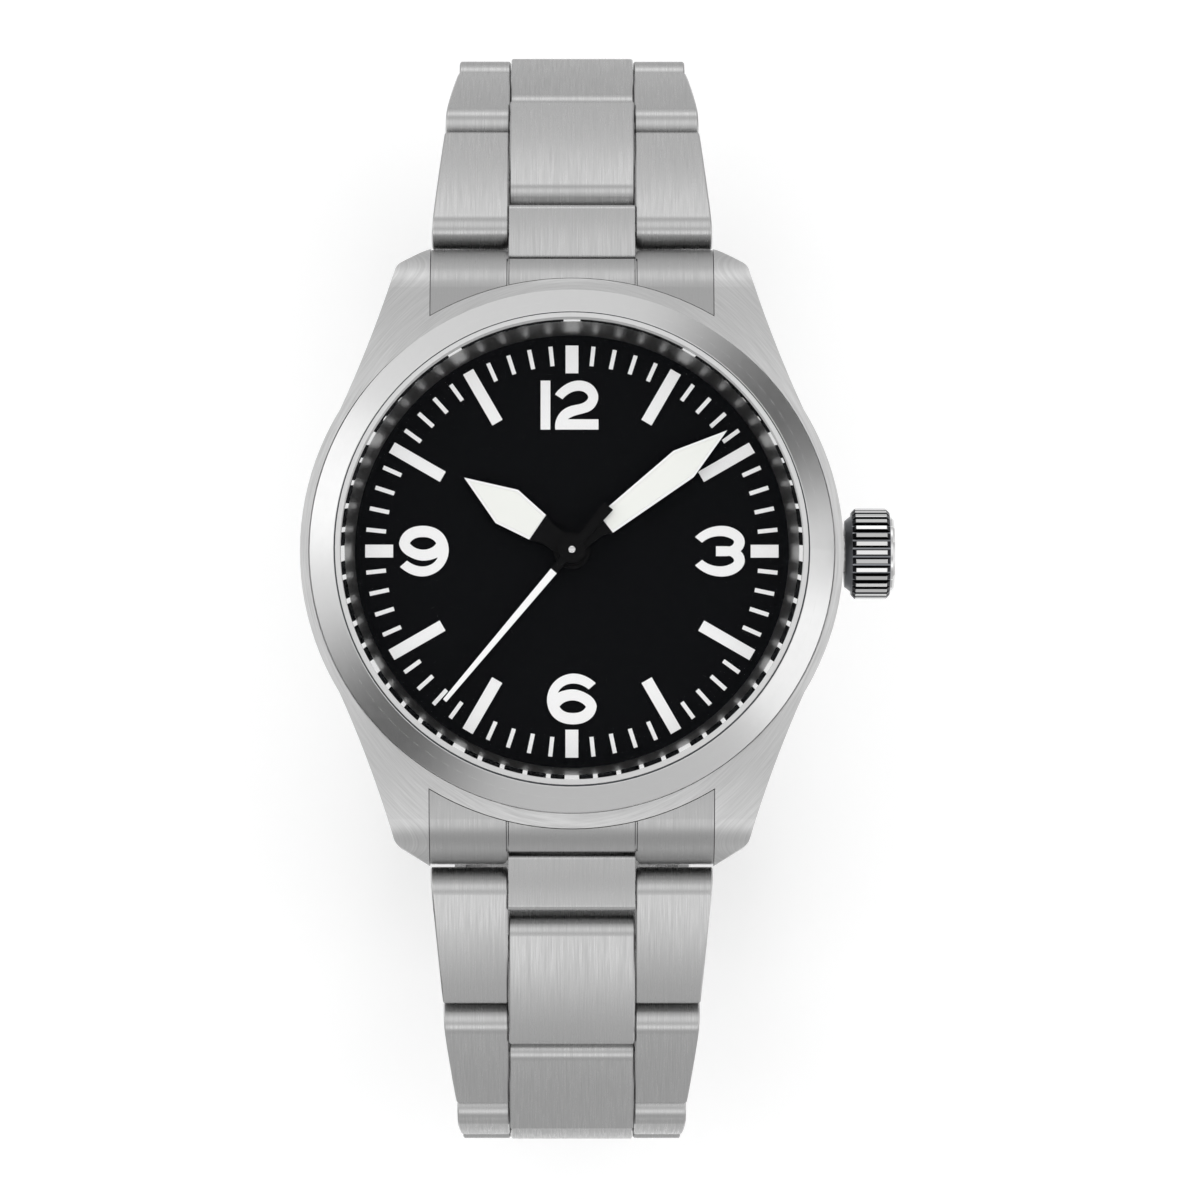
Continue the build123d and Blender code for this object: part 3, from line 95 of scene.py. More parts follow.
# Each hand's angle clockwise from twelve, and how far out its lacquer turns from black to white.
HANDS = {
    "hour_hand": (math.radians(304.1), 2.89 * MM),
    "minute_hand": (math.radians(52.3), 3.0 * MM),
    "seconds_hand": (math.radians(220.0), 1.96 * MM),
}

# The cap on the seconds hand's hub: where it stands, its height, and the ring and dimple in its top.
CAP_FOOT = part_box("seconds_hand")[1].z
CAP_HEIGHT = 0.12 * MM
CAP_RING = {"thickness": 0.06 * MM, "depth": 0.03 * MM}
CAP_DIMPLE = {"thickness": 0.05 * MM, "depth": -0.02 * MM}

# The train bridge's screws by angle in degrees, and the wheels whose pivots run in jewels there.
SCREW_TURNS = (60, 180, 300)
JEWELLED_WHEELS = ("mainspring_barrel", "balance_wheel")

# Small round pieces: their sides, the angle up to which they shade smooth, and how flat an end face is.
ROUND_SIDES = 32
SMOOTH_ANGLE = math.radians(35)
FLAT_ENOUGH = 0.9

# Most of a noise texture's values lie in this range.
NOISE_RANGE = {"From Min": 0.3, "From Max": 0.7}

# Directions across the dial's axis and across the crown's axis.
ACROSS_DIAL = (1.0, 1.0, 0.0)
ACROSS_CROWN = (0.0, 1.0, 1.0)

# The photograph's pixels: its width and height, the place of the dial's middle in it, and its scale.
PHOTO_PIXELS = 1200
DIAL_PIXEL_X = 571.9
DIAL_PIXEL_Y = 551.2
PIXELS_PER_METRE = 14.3 / MM

# The camera's tilt from overhead, and its sensor's width in millimetres.
CAMERA_TILT = math.radians(4.5)
SENSOR_WIDTH = 36.0

# Shades of the sky by degrees from overhead, towards twelve o'clock above zero.
SKY_BANDS = (
    (-90, 0.72),
    (-62, 0.58),
    (-52, 0.8),
    (-42, 1.65),
    (-33, 1.35),
    (-20, 0.66),
    (0, 1.2),
    (15, 1.25),
    (36, 0.74),
    (46, 0.74),
    (62, 1.6),
    (70, 1.5),
    (84, 0.82),
    (90, 0.8),
)

# The soft lamps: name, place, and radiance, where 1 looks white.
LAMP_LEVEL = 0.15
LAMP_WIDTH = 0.42
LAMP_HEIGHT = 0.36
LAMPS = (
    ("left_softbox", (-0.66, 0.24, LAMP_LEVEL), 0.6),
    ("right_softbox", (0.65, -0.27, LAMP_LEVEL), 0.7),
)

# The cards that only reflections show: name, place, aim, width, height and shade.
CARD_LEVEL = 0.06
FLOOR_CARD_LEVEL = cad_box[0].z + 1 * MM
CARDS = (
    ("upper_right_card", (0.312, 0.250, CARD_LEVEL), (0, 0, CARD_LEVEL), 0.60, 0.32, 0.0),
    ("lower_left_card", (-0.300, -0.265, CARD_LEVEL), (0, 0, CARD_LEVEL), 0.52, 0.27, 0.05),
    ("upper_floor_card", (0, 0.30, FLOOR_CARD_LEVEL), (0, 0.30, 1), 0.9, 0.5, 0.74),
    ("lower_floor_card", (0, -0.30, FLOOR_CARD_LEVEL), (0, -0.30, 1), 0.9, 0.5, 0.66),
)

# How much the floor glows for the camera and for mirrors, so that it stays white there.
FLOOR_GLOW = 0.2


def linear(hex_colour):
    """Turns an sRGB hex colour into the linear colour that Blender's nodes use."""
    shares = [int(hex_colour[start : start + 2], 16) / 255 for start in (1, 3, 5)]
    bent = [share / 12.92 if share <= 0.04045 else ((share + 0.055) / 1.055) ** 2.4 for share in shares]
    return (*bent, 1.0)


def colour_property(name, description, hex_colour):
    """A colour that a user can change in the panel."""
    return bpy.props.FloatVectorProperty(
        name=name,
        description=description,
        default=linear(hex_colour),
        subtype="COLOR",
        size=4,
        min=0,
        max=1,
    )


def length_property(name, description, metres):
    """A length that a user can change in the panel."""
    return bpy.props.FloatProperty(
        name=name, description=description, default=metres, unit="LENGTH", precision=5, min=0
    )


class WatchColours(bpy.types.PropertyGroup):
    """The colours of the watch's finishes."""

    steel: colour_property("Steel", "Bare stainless steel on the case", "#c9c9c9")
    link_steel: colour_property("Link steel", "Bare stainless steel on the bracelet", "#bdbdbd")
    # The end links' steel is a darker copy of the link steel, as painted shade.
    shaded_end_steel: colour_property("End link steel", "Bare stainless steel on the end links", "#afafaf")
    brush_shadow: colour_property("Brush shadow", "The darker lines of brushed steel", "#969696")
    polish: colour_property("Polish", "Mirror-polished stainless steel", "#d5d5d5")
    flange: colour_property("Flange mirror", "Upper band of the ring round the dial", "#fafafa")
    flange_satin: colour_property("Flange satin", "Foot of the ring round the dial", "#bababa")
    # Painted shade on the crown's teeth: grey on their floors and near black on their steep flanks.
    tooth_floor_shade: colour_property("Tooth floors", "Bottoms of the crown's teeth", "#86888c")
    tooth_flank_shade: colour_property("Tooth flanks", "Steep sides of the crown's teeth", "#26272a")
    glass: colour_property("Glass", "Faint tint of the glass over the dial", "#0c0e14")
    # The glass rim's colour is painted glare on the bevel of the glass.
    glass_rim_glare: colour_property("Glass rim", "Ground bevel of the glass", "#d3d3d3")
    dial: colour_property("Dial", "Matte black dial lacquer", "#0d0e10")
    marking: colour_property("Marking", "Luminous marks on the dial", "#ffffff")
    hand: colour_property("Hand", "White hand lacquer", "#ffffff")
    hand_dark: colour_property("Hand root", "Black lacquer near the hands' hubs", "#060607")
    lume: colour_property("Luminous paste", "Luminous filling of the hands", "#f8faf9")
    rubber: colour_property("Rubber", "Nitrile rubber seals", "#17181a")
    seal: colour_property("Seal", "Nylon crystal seal", "#3c4044")
    gilt: colour_property("Gilt", "Gilt brass wheels", "#cda35a")
    nickel: colour_property("Nickel", "Nickel-plated movement plates", "#b9b7af")
    jewel: colour_property("Jewel", "Synthetic ruby bearings", "#a8123a")
    blue: colour_property("Blue", "Heat-blued screws", "#2c3f78")
    ring: colour_property("Movement ring", "Moulded plastic ring", "#d5d4cd")
    floor: colour_property("Floor", "Pale studio floor", "#f4f4f4")


class WatchSizes(bpy.types.PropertyGroup):
    """The sizes of the watch's finishes and small pieces, and of its stage."""

    brush_width: length_property("Brush line width", "Width of one line of the brushing", 0.07 * MM)
    brush_length: length_property("Brush line length", "Length of one line of the brushing", 3 * MM)
    brush_depth: length_property("Brush line depth", "Depth of the brushing", 0.0015 * MM)
    dial_grain: length_property("Dial grain", "Grain of the matte dial lacquer", 0.12 * MM)
    paste_grain: length_property("Paste grain", "Grain of the luminous paste", 0.10 * MM)
    hub_radius: length_property("Hub cap radius", "Steel cap on the seconds hand's hub", 0.24 * MM)
    screw_radius: length_property("Screw radius", "Heads of the train bridge's screws", 0.75 * MM)
    screw_height: length_property("Screw height", "Height of the screw heads and jewels", 0.12 * MM)
    screw_ring: length_property("Screw ring", "From the middle to each screw", 11.9 * MM)
    jewel_radius: length_property("Jewel radius", "Ruby bearings in the train bridge", 0.7 * MM)
    camera_distance: length_property("Camera distance", "From the dial to the camera", 450 * MM)
    floor_size: length_property("Floor size", "Width of the studio floor", 6.0)
    floor_gap: length_property("Floor gap", "Space between the clasp and the floor", 0.02 * MM)


def add_node(tree, kind, inputs=None, **settings):
    """Adds a node, with its settings, and its inputs as values or as links from other nodes' outputs."""
    made = tree.nodes.new(kind)
    for name, value in settings.items():
        setattr(made, name, value)
    for name, value in (inputs or {}).items():
        if isinstance(value, bpy.types.NodeSocket):
            tree.links.new(value, made.inputs[name])
        else:
            made.inputs[name].default_value = value
    return made


def new_material(name, **sockets):
    """A material with a Principled shader, its fixed values set on the shader's own sockets."""
    material = bpy.data.materials.new(name)
    material.use_nodes = True
    shader = material.node_tree.nodes["Principled BSDF"]
    for socket, value in sockets.items():
        shader.inputs[socket.replace("_", " ")].default_value = value
    return material, material.node_tree, shader


def object_coordinates(tree):
    """The place on the watch, in metres."""
    return add_node(tree, "ShaderNodeTexCoord").outputs["Object"]


def distance_from_axis(tree, place, across, centre=(0.0, 0.0, 0.0)):
    """How far a place is from an axis through a centre, counting only the directions across the axis."""
    centred = add_node(tree, "ShaderNodeVectorMath", {0: place, 1: centre}, operation="SUBTRACT")
    flat = add_node(tree, "ShaderNodeVectorMath", {0: centred.outputs[0], 1: across}, operation="MULTIPLY")
    return add_node(tree, "ShaderNodeVectorMath", {0: flat.outputs[0]}, operation="LENGTH").outputs["Value"]


def round_coordinates(tree, across, along):
    """Coordinates for brushing that runs round the dial's axis: fine across, slow along."""
    place = object_coordinates(tree)
    split = add_node(tree, "ShaderNodeSeparateXYZ", {"Vector": place})
    radius = distance_from_axis(tree, place, ACROSS_DIAL)
    reach = add_node(tree, "ShaderNodeMath", {0: radius, 1: split.outputs["Z"]}, operation="ADD")
    fine = add_node(tree, "ShaderNodeMath", {0: reach.outputs[0], 1: across}, operation="MULTIPLY")
    flat = add_node(tree, "ShaderNodeVectorMath", {0: place, 1: ACROSS_DIAL}, operation="MULTIPLY")
    way = add_node(tree, "ShaderNodeVectorMath", {0: flat.outputs[0]}, operation="NORMALIZE")
    slow = add_node(
        tree, "ShaderNodeVectorMath", {0: way.outputs[0], "Scale": along * CASE_RADIUS}, operation="SCALE"
    )
    turn = add_node(tree, "ShaderNodeSeparateXYZ", {"Vector": slow.outputs[0]})
    return add_node(
        tree,
        "ShaderNodeCombineXYZ",
        {"X": fine.outputs[0], "Y": turn.outputs["X"], "Z": turn.outputs["Y"]},
    ).outputs[0]


def lengthwise(tree, across, along):
    """Coordinates for brushing that runs along the bracelet: fine across, slow along.

    Across is sideways on the links' faces, and outwards from the loop on their flat flanks.
    """
    flank_lean = 0.8
    place = add_node(tree, "ShaderNodeTexCoord")
    split = add_node(tree, "ShaderNodeSeparateXYZ", {"Vector": place.outputs["Object"]})
    outwards = distance_from_axis(tree, place.outputs["Object"], (0.0, 1.0, LOOP_STRETCH), LOOP_MIDDLE)
    facing = add_node(tree, "ShaderNodeSeparateXYZ", {"Vector": place.outputs["Normal"]})
    sideways = add_node(tree, "ShaderNodeMath", {0: facing.outputs["X"]}, operation="ABSOLUTE")
    flank = add_node(
        tree, "ShaderNodeMath", {0: sideways.outputs[0], 1: flank_lean}, operation="GREATER_THAN"
    )
    reach = add_node(
        tree, "ShaderNodeMix", {0: flank.outputs[0], 2: split.outputs["X"], 3: outwards}, data_type="FLOAT"
    )
    fine = add_node(
        tree,
        "ShaderNodeCombineXYZ",
        {"X": reach.outputs[0], "Y": split.outputs["Y"], "Z": split.outputs["Z"]},
    )
    return add_node(
        tree, "ShaderNodeVectorMath", {0: fine.outputs[0], 1: (across, along, along)}, operation="MULTIPLY"
    ).outputs[0]


def brushed_steel(name, colour, shadow, sizes, where, roughness, contrast):
    """Stainless steel brushed with a belt: fine lines, darker where the grit cut deeper, and a soft sheen."""
    patch_width = 7 * MM
    gloss_spread = 0.06
    material, tree, shader = new_material(name, Metallic=1.0)
    # A belt's real lines are about 0.03 mm apart. They are drawn wider here, so that they show.
    place = where(tree, 1 / sizes.brush_width, 1 / sizes.brush_length)
    lines = add_node(
        tree, "ShaderNodeTexNoise", {"Vector": place, "Scale": 1.0, "Detail": 3.0, "Roughness": 0.62}
    )
    share = add_node(
        tree,
        "ShaderNodeMapRange",
        {
            "Value": lines.outputs["Fac"],
            "From Min": 0.3,
            "From Max": 0.72,
            "To Min": contrast,
            "To Max": 0.0,
        },
    )
    patches = add_node(
        tree,
        "ShaderNodeTexNoise",
        {"Vector": object_coordinates(tree), "Scale": 1 / patch_width, "Detail": 2.0},
    )
    cloud = add_node(
        tree,
        "ShaderNodeMapRange",
        {"Value": patches.outputs["Fac"], **NOISE_RANGE, "To Min": -0.02, "To Max": 0.03},
    )
    total = add_node(
        tree,
        "ShaderNodeMath",
        {0: share.outputs[0], 1: cloud.outputs[0]},
        operation="ADD",
        use_clamp=True,
    )
    paint = add_node(
        tree, "ShaderNodeMix", {0: total.outputs[0], 6: colour[:], 7: shadow[:]}, data_type="RGBA"
    )
    gloss = add_node(
        tree,
        "ShaderNodeMapRange",
        {
            "Value": lines.outputs["Fac"],
            **NOISE_RANGE,
            "To Min": roughness + gloss_spread,
            "To Max": roughness - gloss_spread,
        },
    )
    bump = add_node(
        tree,
        "ShaderNodeBump",
        {"Height": lines.outputs["Fac"], "Strength": 1.0, "Distance": sizes.brush_depth},
    )
    tree.links.new(paint.outputs[2], shader.inputs["Base Color"])
    tree.links.new(gloss.outputs[0], shader.inputs["Roughness"])
    tree.links.new(bump.outputs[0], shader.inputs["Normal"])
    return material


def polished_steel(name, colour, roughness, wipe_width):
    """Smooth steel, from mirror to satin by its roughness, with faint wiping marks in its sheen."""
    gloss_spread = 0.05
    darker = tuple(channel * 0.97 for channel in colour[:3])
    material, tree, shader = new_material(name, Metallic=1.0)
    marks = add_node(
        tree,
        "ShaderNodeTexNoise",
        {"Vector": object_coordinates(tree), "Scale": 1 / wipe_width, "Detail": 4.0, "Roughness": 0.6},
    )
    gloss = add_node(
        tree,
        "ShaderNodeMapRange",
        {
            "Value": marks.outputs["Fac"],
            "From Min": 0.35,
            "From Max": 0.7,
            "To Min": roughness * (1 - gloss_spread),
            "To Max": roughness * (1 + gloss_spread),
        },
    )
    paint = add_node(
        tree, "ShaderNodeMix", {0: marks.outputs["Fac"], 6: colour[:], 7: (*darker, 1.0)}, data_type="RGBA"
    )
    tree.links.new(paint.outputs[2], shader.inputs["Base Color"])
    tree.links.new(gloss.outputs[0], shader.inputs["Roughness"])
    return material


def grained(name, colour, roughness, grain, depth, metallic=0.0, spread=0.06, **sockets):
    """A surface with a fine even grain, such as matte lacquer, paste, rubber or cast plastic."""
    gloss_spread = 0.05
    darker = tuple(channel * (1 - spread) for channel in colour[:3])
    material, tree, shader = new_material(name, Metallic=metallic, **sockets)
    noise = add_node(
        tree,
        "ShaderNodeTexNoise",
        {"Vector": object_coordinates(tree), "Scale": 1 / grain, "Detail": 2.0},
    )
    paint = add_node(
        tree, "ShaderNodeMix", {0: noise.outputs["Fac"], 6: colour[:], 7: (*darker, 1.0)}, data_type="RGBA"
    )
    gloss = add_node(
        tree,
        "ShaderNodeMapRange",
        {
            "Value": noise.outputs["Fac"],
            **NOISE_RANGE,
            "To Min": roughness - gloss_spread,
            "To Max": roughness + gloss_spread,
        },
    )
    bump = add_node(
        tree, "ShaderNodeBump", {"Height": noise.outputs["Fac"], "Strength": 1.0, "Distance": depth}
    )
    tree.links.new(paint.outputs[2], shader.inputs["Base Color"])
    tree.links.new(gloss.outputs[0], shader.inputs["Roughness"])
    tree.links.new(bump.outputs[0], shader.inputs["Normal"])
    return material


def two_tone_lacquer(name, light, dark, angle, white_from):
    """Lacquer that is white beyond a straight edge across the hand and black from there to the tail."""
    edge_blur = 0.02 * MM
    grain_width = 0.11 * MM
    softer = tuple(channel * 0.96 for channel in light[:3])
    material, tree, shader = new_material(name, Roughness=0.35, Specular_IOR_Level=0.08)
    where = object_coordinates(tree)
    along = (math.sin(angle), math.cos(angle), 0.0)
    reach = add_node(tree, "ShaderNodeVectorMath", {0: where, 1: along}, operation="DOT_PRODUCT")
    side = add_node(
        tree,
        "ShaderNodeMapRange",
        {
            "Value": reach.outputs["Value"],
            "From Min": white_from - edge_blur,
            "From Max": white_from + edge_blur,
        },
    )
    grain = add_node(tree, "ShaderNodeTexNoise", {"Vector": where, "Scale": 1 / grain_width, "Detail": 2.0})
    white = add_node(
        tree, "ShaderNodeMix", {0: grain.outputs["Fac"], 6: light[:], 7: (*softer, 1.0)}, data_type="RGBA"
    )
    paint = add_node(
        tree, "ShaderNodeMix", {0: side.outputs[0], 6: dark[:], 7: white.outputs[2]}, data_type="RGBA"
    )
    tree.links.new(paint.outputs[2], shader.inputs["Base Color"])
    return material


def flange_steel(name, mirror, satin):
    """The steel cone round the dial: satin and dark at its foot, a clean mirror in its upper band."""
    edge_blur = 0.03 * MM
    grain_width = 0.4 * MM
    satin_roughness = 0.3
    mirror_roughness = 0.02
    material, tree, shader = new_material(name, Metallic=1.0)
    where = object_coordinates(tree)
    radius = distance_from_axis(tree, where, ACROSS_DIAL, FLANGE_MIRROR_CENTRE)
    zone = add_node(
        tree,
        "ShaderNodeMapRange",
        {
            "Value": radius,
            "From Min": FLANGE_MIRROR_START - edge_blur,
            "From Max": FLANGE_MIRROR_START + edge_blur,
        },
    )
    grain = add_node(tree, "ShaderNodeTexNoise", {"Vector": where, "Scale": 1 / grain_width, "Detail": 3.0})
    foot = add_node(
        tree, "ShaderNodeMix", {0: grain.outputs["Fac"], 6: satin[:], 7: linear("#aaaaaa")}, data_type="RGBA"
    )
    paint = add_node(
        tree, "ShaderNodeMix", {0: zone.outputs[0], 6: foot.outputs[2], 7: mirror[:]}, data_type="RGBA"
    )
    gloss = add_node(
        tree,
        "ShaderNodeMix",
        {0: zone.outputs[0], 2: satin_roughness, 3: mirror_roughness},
        data_type="FLOAT",
    )
    tree.links.new(paint.outputs[2], shader.inputs["Base Color"])
    tree.links.new(gloss.outputs[0], shader.inputs["Roughness"])
    return material


def knurled_steel(name, colours):
    """Crown steel, polished on its crests and end, with painted shade in its teeth: dark flanks and grey
    floors.
    """
    buff_start = CROWN_RADIUS - 0.05 * MM
    buff_full = CROWN_RADIUS - 0.03 * MM
    flank_start = CROWN_FLOOR_RADIUS + 0.005 * MM
    flank_full = CROWN_FLOOR_RADIUS + 0.02 * MM
    edge_blur = 0.01 * MM
    grain_width = 0.5 * MM
    bare_roughness = 0.3
    buffed_roughness = 0.07
    material, tree, shader = new_material(name, Metallic=1.0)
    where = object_coordinates(tree)
    split = add_node(tree, "ShaderNodeSeparateXYZ", {"Vector": where})
    radius = distance_from_axis(tree, where, ACROSS_CROWN, (0.0, 0.0, CROWN_HEIGHT))
    crest = add_node(
        tree, "ShaderNodeMapRange", {"Value": radius, "From Min": buff_start, "From Max": buff_full}
    )
    flank = add_node(
        tree, "ShaderNodeMapRange", {"Value": radius, "From Min": flank_start, "From Max": flank_full}
    )
    cap = add_node(
        tree,
        "ShaderNodeMapRange",
        {
            "Value": split.outputs["X"],
            "From Min": CROWN_KNURL_END - edge_blur,
            "From Max": CROWN_KNURL_END + edge_blur,
        },
    )
    grain = add_node(tree, "ShaderNodeTexNoise", {"Vector": where, "Scale": 1 / grain_width, "Detail": 3.0})
    # Painted shade in the teeth: their floors grey, and their flanks near black from just above the floors.
    floor = add_node(
        tree,
        "ShaderNodeMix",
        {0: grain.outputs["Fac"], 6: colours.tooth_floor_shade[:], 7: linear("#7a7c80")},
        data_type="RGBA",
    )
    deep = add_node(
        tree,
        "ShaderNodeMix",
        {0: flank.outputs[0], 6: floor.outputs[2], 7: colours.tooth_flank_shade[:]},
        data_type="RGBA",
    )
    bright = add_node(
        tree, "ShaderNodeMath", {0: crest.outputs[0], 1: cap.outputs[0]}, operation="MAXIMUM"
    )
    paint = add_node(
        tree,
        "ShaderNodeMix",
        {0: bright.outputs[0], 6: deep.outputs[2], 7: colours.polish[:]},
        data_type="RGBA",
    )
    gloss = add_node(
        tree,
        "ShaderNodeMix",
        {0: bright.outputs[0], 2: bare_roughness, 3: buffed_roughness},
        data_type="FLOAT",
    )
    tree.links.new(paint.outputs[2], shader.inputs["Base Color"])
    tree.links.new(gloss.outputs[0], shader.inputs["Roughness"])
    return material


def sapphire(name, tint, rim_glare_colour):
    """Coated sapphire glass: almost invisible over the dial, with its bevel painted pale and nearly opaque as
    a painted glare.
    """
    edge_blur = 0.02 * MM
    haze_width = 17 * MM
    rim_cover = 0.88
    material, tree, shader = new_material(name, Roughness=0.03, Specular_IOR_Level=0.04)
    where = object_coordinates(tree)
    rim = add_node(
        tree,
        "ShaderNodeMapRange",
        {
            "Value": distance_from_axis(tree, where, ACROSS_DIAL),
            "From Min": GLASS_RIM_START,
            "From Max": GLASS_RIM_START + edge_blur,
        },
    )
    haze = add_node(tree, "ShaderNodeTexNoise", {"Vector": where, "Scale": 1 / haze_width})
    clear = add_node(
        tree, "ShaderNodeMapRange", {"Value": haze.outputs["Fac"], "To Min": 0.02, "To Max": 0.03}
    )
    cover = add_node(
        tree, "ShaderNodeMix", {0: rim.outputs[0], 2: clear.outputs[0], 3: rim_cover}, data_type="FLOAT"
    )
    # The bevel's pale, nearly opaque colour is painted glare, standing in for the light the bevel bends.
    paint = add_node(
        tree, "ShaderNodeMix", {0: rim.outputs[0], 6: tint[:], 7: rim_glare_colour[:]}, data_type="RGBA"
    )
    tree.links.new(paint.outputs[2], shader.inputs["Base Color"])
    tree.links.new(cover.outputs[0], shader.inputs["Alpha"])
    return material


def finish_for(name):
    """Makes a finish the first time it is asked for, and gives the same one afterwards."""
    if name in bpy.data.materials:
        return bpy.data.materials[name]
    colours = bpy.context.scene.watch_colours
    sizes = bpy.context.scene.watch_sizes
    shadow = colours.brush_shadow
    if name == "316L_steel_round_brushed":
        # 316L stainless steel, brushed on a turning table: rings of fine lines, pale and soft.
        return brushed_steel(
            name, colours.steel, shadow, sizes, round_coordinates, roughness=0.36, contrast=0.42
        )
    if name == "316L_steel_long_brushed":
        # 316L stainless steel, belt-brushed along the links: greyer than the case, with a soft sheen.
        return brushed_steel(
            name, colours.link_steel, shadow, sizes, lengthwise, roughness=0.3, contrast=0.4
        )
    if name == "316L_steel_end_brushed":
        # 316L stainless steel end links, belt-brushed like the links, in a darker copy of their steel as
        # painted shade.
        return brushed_steel(
            name, colours.shaded_end_steel, shadow, sizes, lengthwise, roughness=0.32, contrast=0.34
        )
    if name == "316L_steel_polished":
        # 316L stainless steel, buffed: a clean mirror that takes its shades from the studio.
        return polished_steel(name, colours.polish, roughness=0.10, wipe_width=1.1 * MM)
    if name == "316L_steel_satin_polished":
        # 316L stainless steel, buffed to a soft lustre: shades blend into each other.
        return polished_steel(name, colours.polish, roughness=0.30, wipe_width=0.7 * MM)
    if name == "316L_steel_turned":
        # 316L stainless steel, left as turned: duller than the buffed parts.
        return polished_steel(name, colours.steel, roughness=0.28, wipe_width=0.4 * MM)
    if name == "316L_steel_knurled":
        # 316L stainless steel crown: buffed crests and end, with painted shade between the teeth.
        return knurled_steel(name, colours)
    if name == "316L_steel_flange":
        # 316L stainless steel ring between dial and glass: satin below, polished above.
        return flange_steel(name, colours.flange, colours.flange_satin)
    if name == "sapphire_coated":
        # Sapphire with an anti-glare coat: the dial looks bare under it, and its bevel shows as a painted
        # pale glare.
        return sapphire(name, colours.glass, colours.glass_rim_glare)
    if name == "nylon_seal":
        # Nylon crystal gasket: a thin dark line between glass and bezel.
        return grained(name, colours.seal, roughness=0.45, grain=0.2 * MM, depth=0.001 * MM)
    if name == "nitrile_rubber":
        # Nitrile rubber seals: dull black.
        return grained(name, colours.rubber, roughness=0.7, grain=0.15 * MM, depth=0.004 * MM)
    if name == "matte_dial_lacquer":
        # Sprayed matte lacquer on brass: deep black with a very fine grain.
        return grained(
            name,
            colours.dial,
            roughness=0.62,
            grain=sizes.dial_grain,
            depth=0.002 * MM,
            spread=0.2,
            Specular_IOR_Level=0.04,
        )
    if name == "luminous_marks":
        # Luminous paint printed in layers: chalky white with a fine grain.
        return grained(name, colours.marking, roughness=0.6, grain=sizes.paste_grain, depth=0.004 * MM)
    if name == "luminous_paste":
        # Luminous paste filled into the hands: chalky, and a touch greyer than the white lacquer.
        return grained(name, colours.lume, roughness=0.65, grain=sizes.paste_grain, depth=0.006 * MM)
    if name.endswith("_hand_lacquer"):
        # Lacquer on brass with a low sheen: white along the hand, black at its root.
        angle, white_from = HANDS[name.removesuffix("_lacquer")]
        return two_tone_lacquer(name, colours.hand, colours.hand_dark, angle, white_from)
    if name == "gilt_brass":
        # Gilt brass wheels: warm, with a satin grain.
        return grained(name, colours.gilt, roughness=0.3, grain=0.25 * MM, depth=0.003 * MM, metallic=1.0)
    if name == "nickel_plate":
        # Nickel-plated brass plates: pale and warm, bead-blasted.
        return grained(name, colours.nickel, roughness=0.38, grain=0.18 * MM, depth=0.004 * MM, metallic=1.0)
    if name == "synthetic_ruby":
        # Synthetic ruby bearings: deep red and glossy.
        return grained(name, colours.jewel, roughness=0.12, grain=0.5 * MM, depth=0.0005 * MM)
    if name == "blued_steel":
        # Heat-blued carbon steel screws: dark blue and glossy.
        return polished_steel(name, colours.blue, roughness=0.16, wipe_width=0.4 * MM)
    if name == "moulded_acetal":
        # Acetal movement ring: off-white moulded plastic.
        return grained(name, colours.ring, roughness=0.5, grain=0.4 * MM, depth=0.004 * MM)
    raise ValueError(f"there is no finish named {name}")


def dress(name, *nodes):
    """Gives carried-over CAD nodes a finish, through their own material slots."""
    material = finish_for(name)
    for node in nodes:
        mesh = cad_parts[node].data
        if not mesh.materials:
            mesh.materials.append(material)
        for index in range(len(mesh.materials)):
            mesh.materials[index] = material


def start_piece():
    """Leaves edit mode and selects nothing, so that the next operator acts on the new piece alone."""
    if bpy.context.object and bpy.context.object.mode != "OBJECT":
        bpy.ops.object.mode_set(mode="OBJECT")
    bpy.ops.object.select_all(action="DESELECT")


def select_piece(piece):
    """Selects one piece alone and makes it the active one."""
    start_piece()
    piece.select_set(True)
    bpy.context.view_layer.objects.active = piece


def select_end(up):
    """In edit mode, selects the active piece's faces that look up, with up at 1, or down, with up at -1."""
    bpy.ops.object.mode_set(mode="OBJECT")
    mesh = bpy.context.object.data
    for part in (*mesh.vertices, *mesh.edges, *mesh.polygons):
        part.select = False
    for polygon in mesh.polygons:
        if polygon.normal.z * up > FLAT_ENOUGH:
            polygon.select = True
            for vertex in polygon.vertices:
                mesh.vertices[vertex].select = True
    bpy.ops.object.mode_set(mode="EDIT")
    bpy.ops.mesh.select_mode(type="FACE")


def keep_piece(name, body, finish):
    """Ends the active piece: its place goes into its mesh, and it gets its name, finish and CAD body."""
    if bpy.context.object.mode != "OBJECT":
        bpy.ops.object.mode_set(mode="OBJECT")
    piece = bpy.context.object
    bpy.ops.object.transform_apply(location=True, rotation=True, scale=True)
    bpy.ops.object.shade_smooth_by_angle(angle=SMOOTH_ANGLE)
    piece.name = name
    piece.data.name = name
    piece.data.materials.clear()
    piece.data.materials.append(finish_for(finish))
    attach(piece, body)


class WATCH_OT_case(bpy.types.Operator):
    """Finishes the case, the bezel, the flange, the back, its gasket, the end links and the spring bars"""

    bl_idname = "watch.case"
    bl_label = "Case"

    def execute(self, context):
        dress("316L_steel_round_brushed", "case_middle", "case_back")
        dress("316L_steel_end_brushed", "end_link_12", "end_link_6")
        dress("316L_steel_satin_polished", "bezel")
        dress("316L_steel_flange", "inner_flange")
        dress("316L_steel_turned", "lug_spring_bars")
        dress("nitrile_rubber", "case_back_gasket")
        return {"FINISHED"}


class WATCH_OT_crystal(bpy.types.Operator):
    """Finishes the sapphire glass and its seal"""

    bl_idname = "watch.crystal"
    bl_label = "Crystal"

    def execute(self, context):
        dress("sapphire_coated", "crystal")
        dress("nylon_seal", "crystal_gasket")
        return {"FINISHED"}


class WATCH_OT_dial(bpy.types.Operator):
    """Finishes the dial and its marks"""

    bl_idname = "watch.dial"
    bl_label = "Dial"

    def execute(self, context):
        dress("matte_dial_lacquer", "dial")
        dress("luminous_marks", "dial_markings")
        return {"FINISHED"}


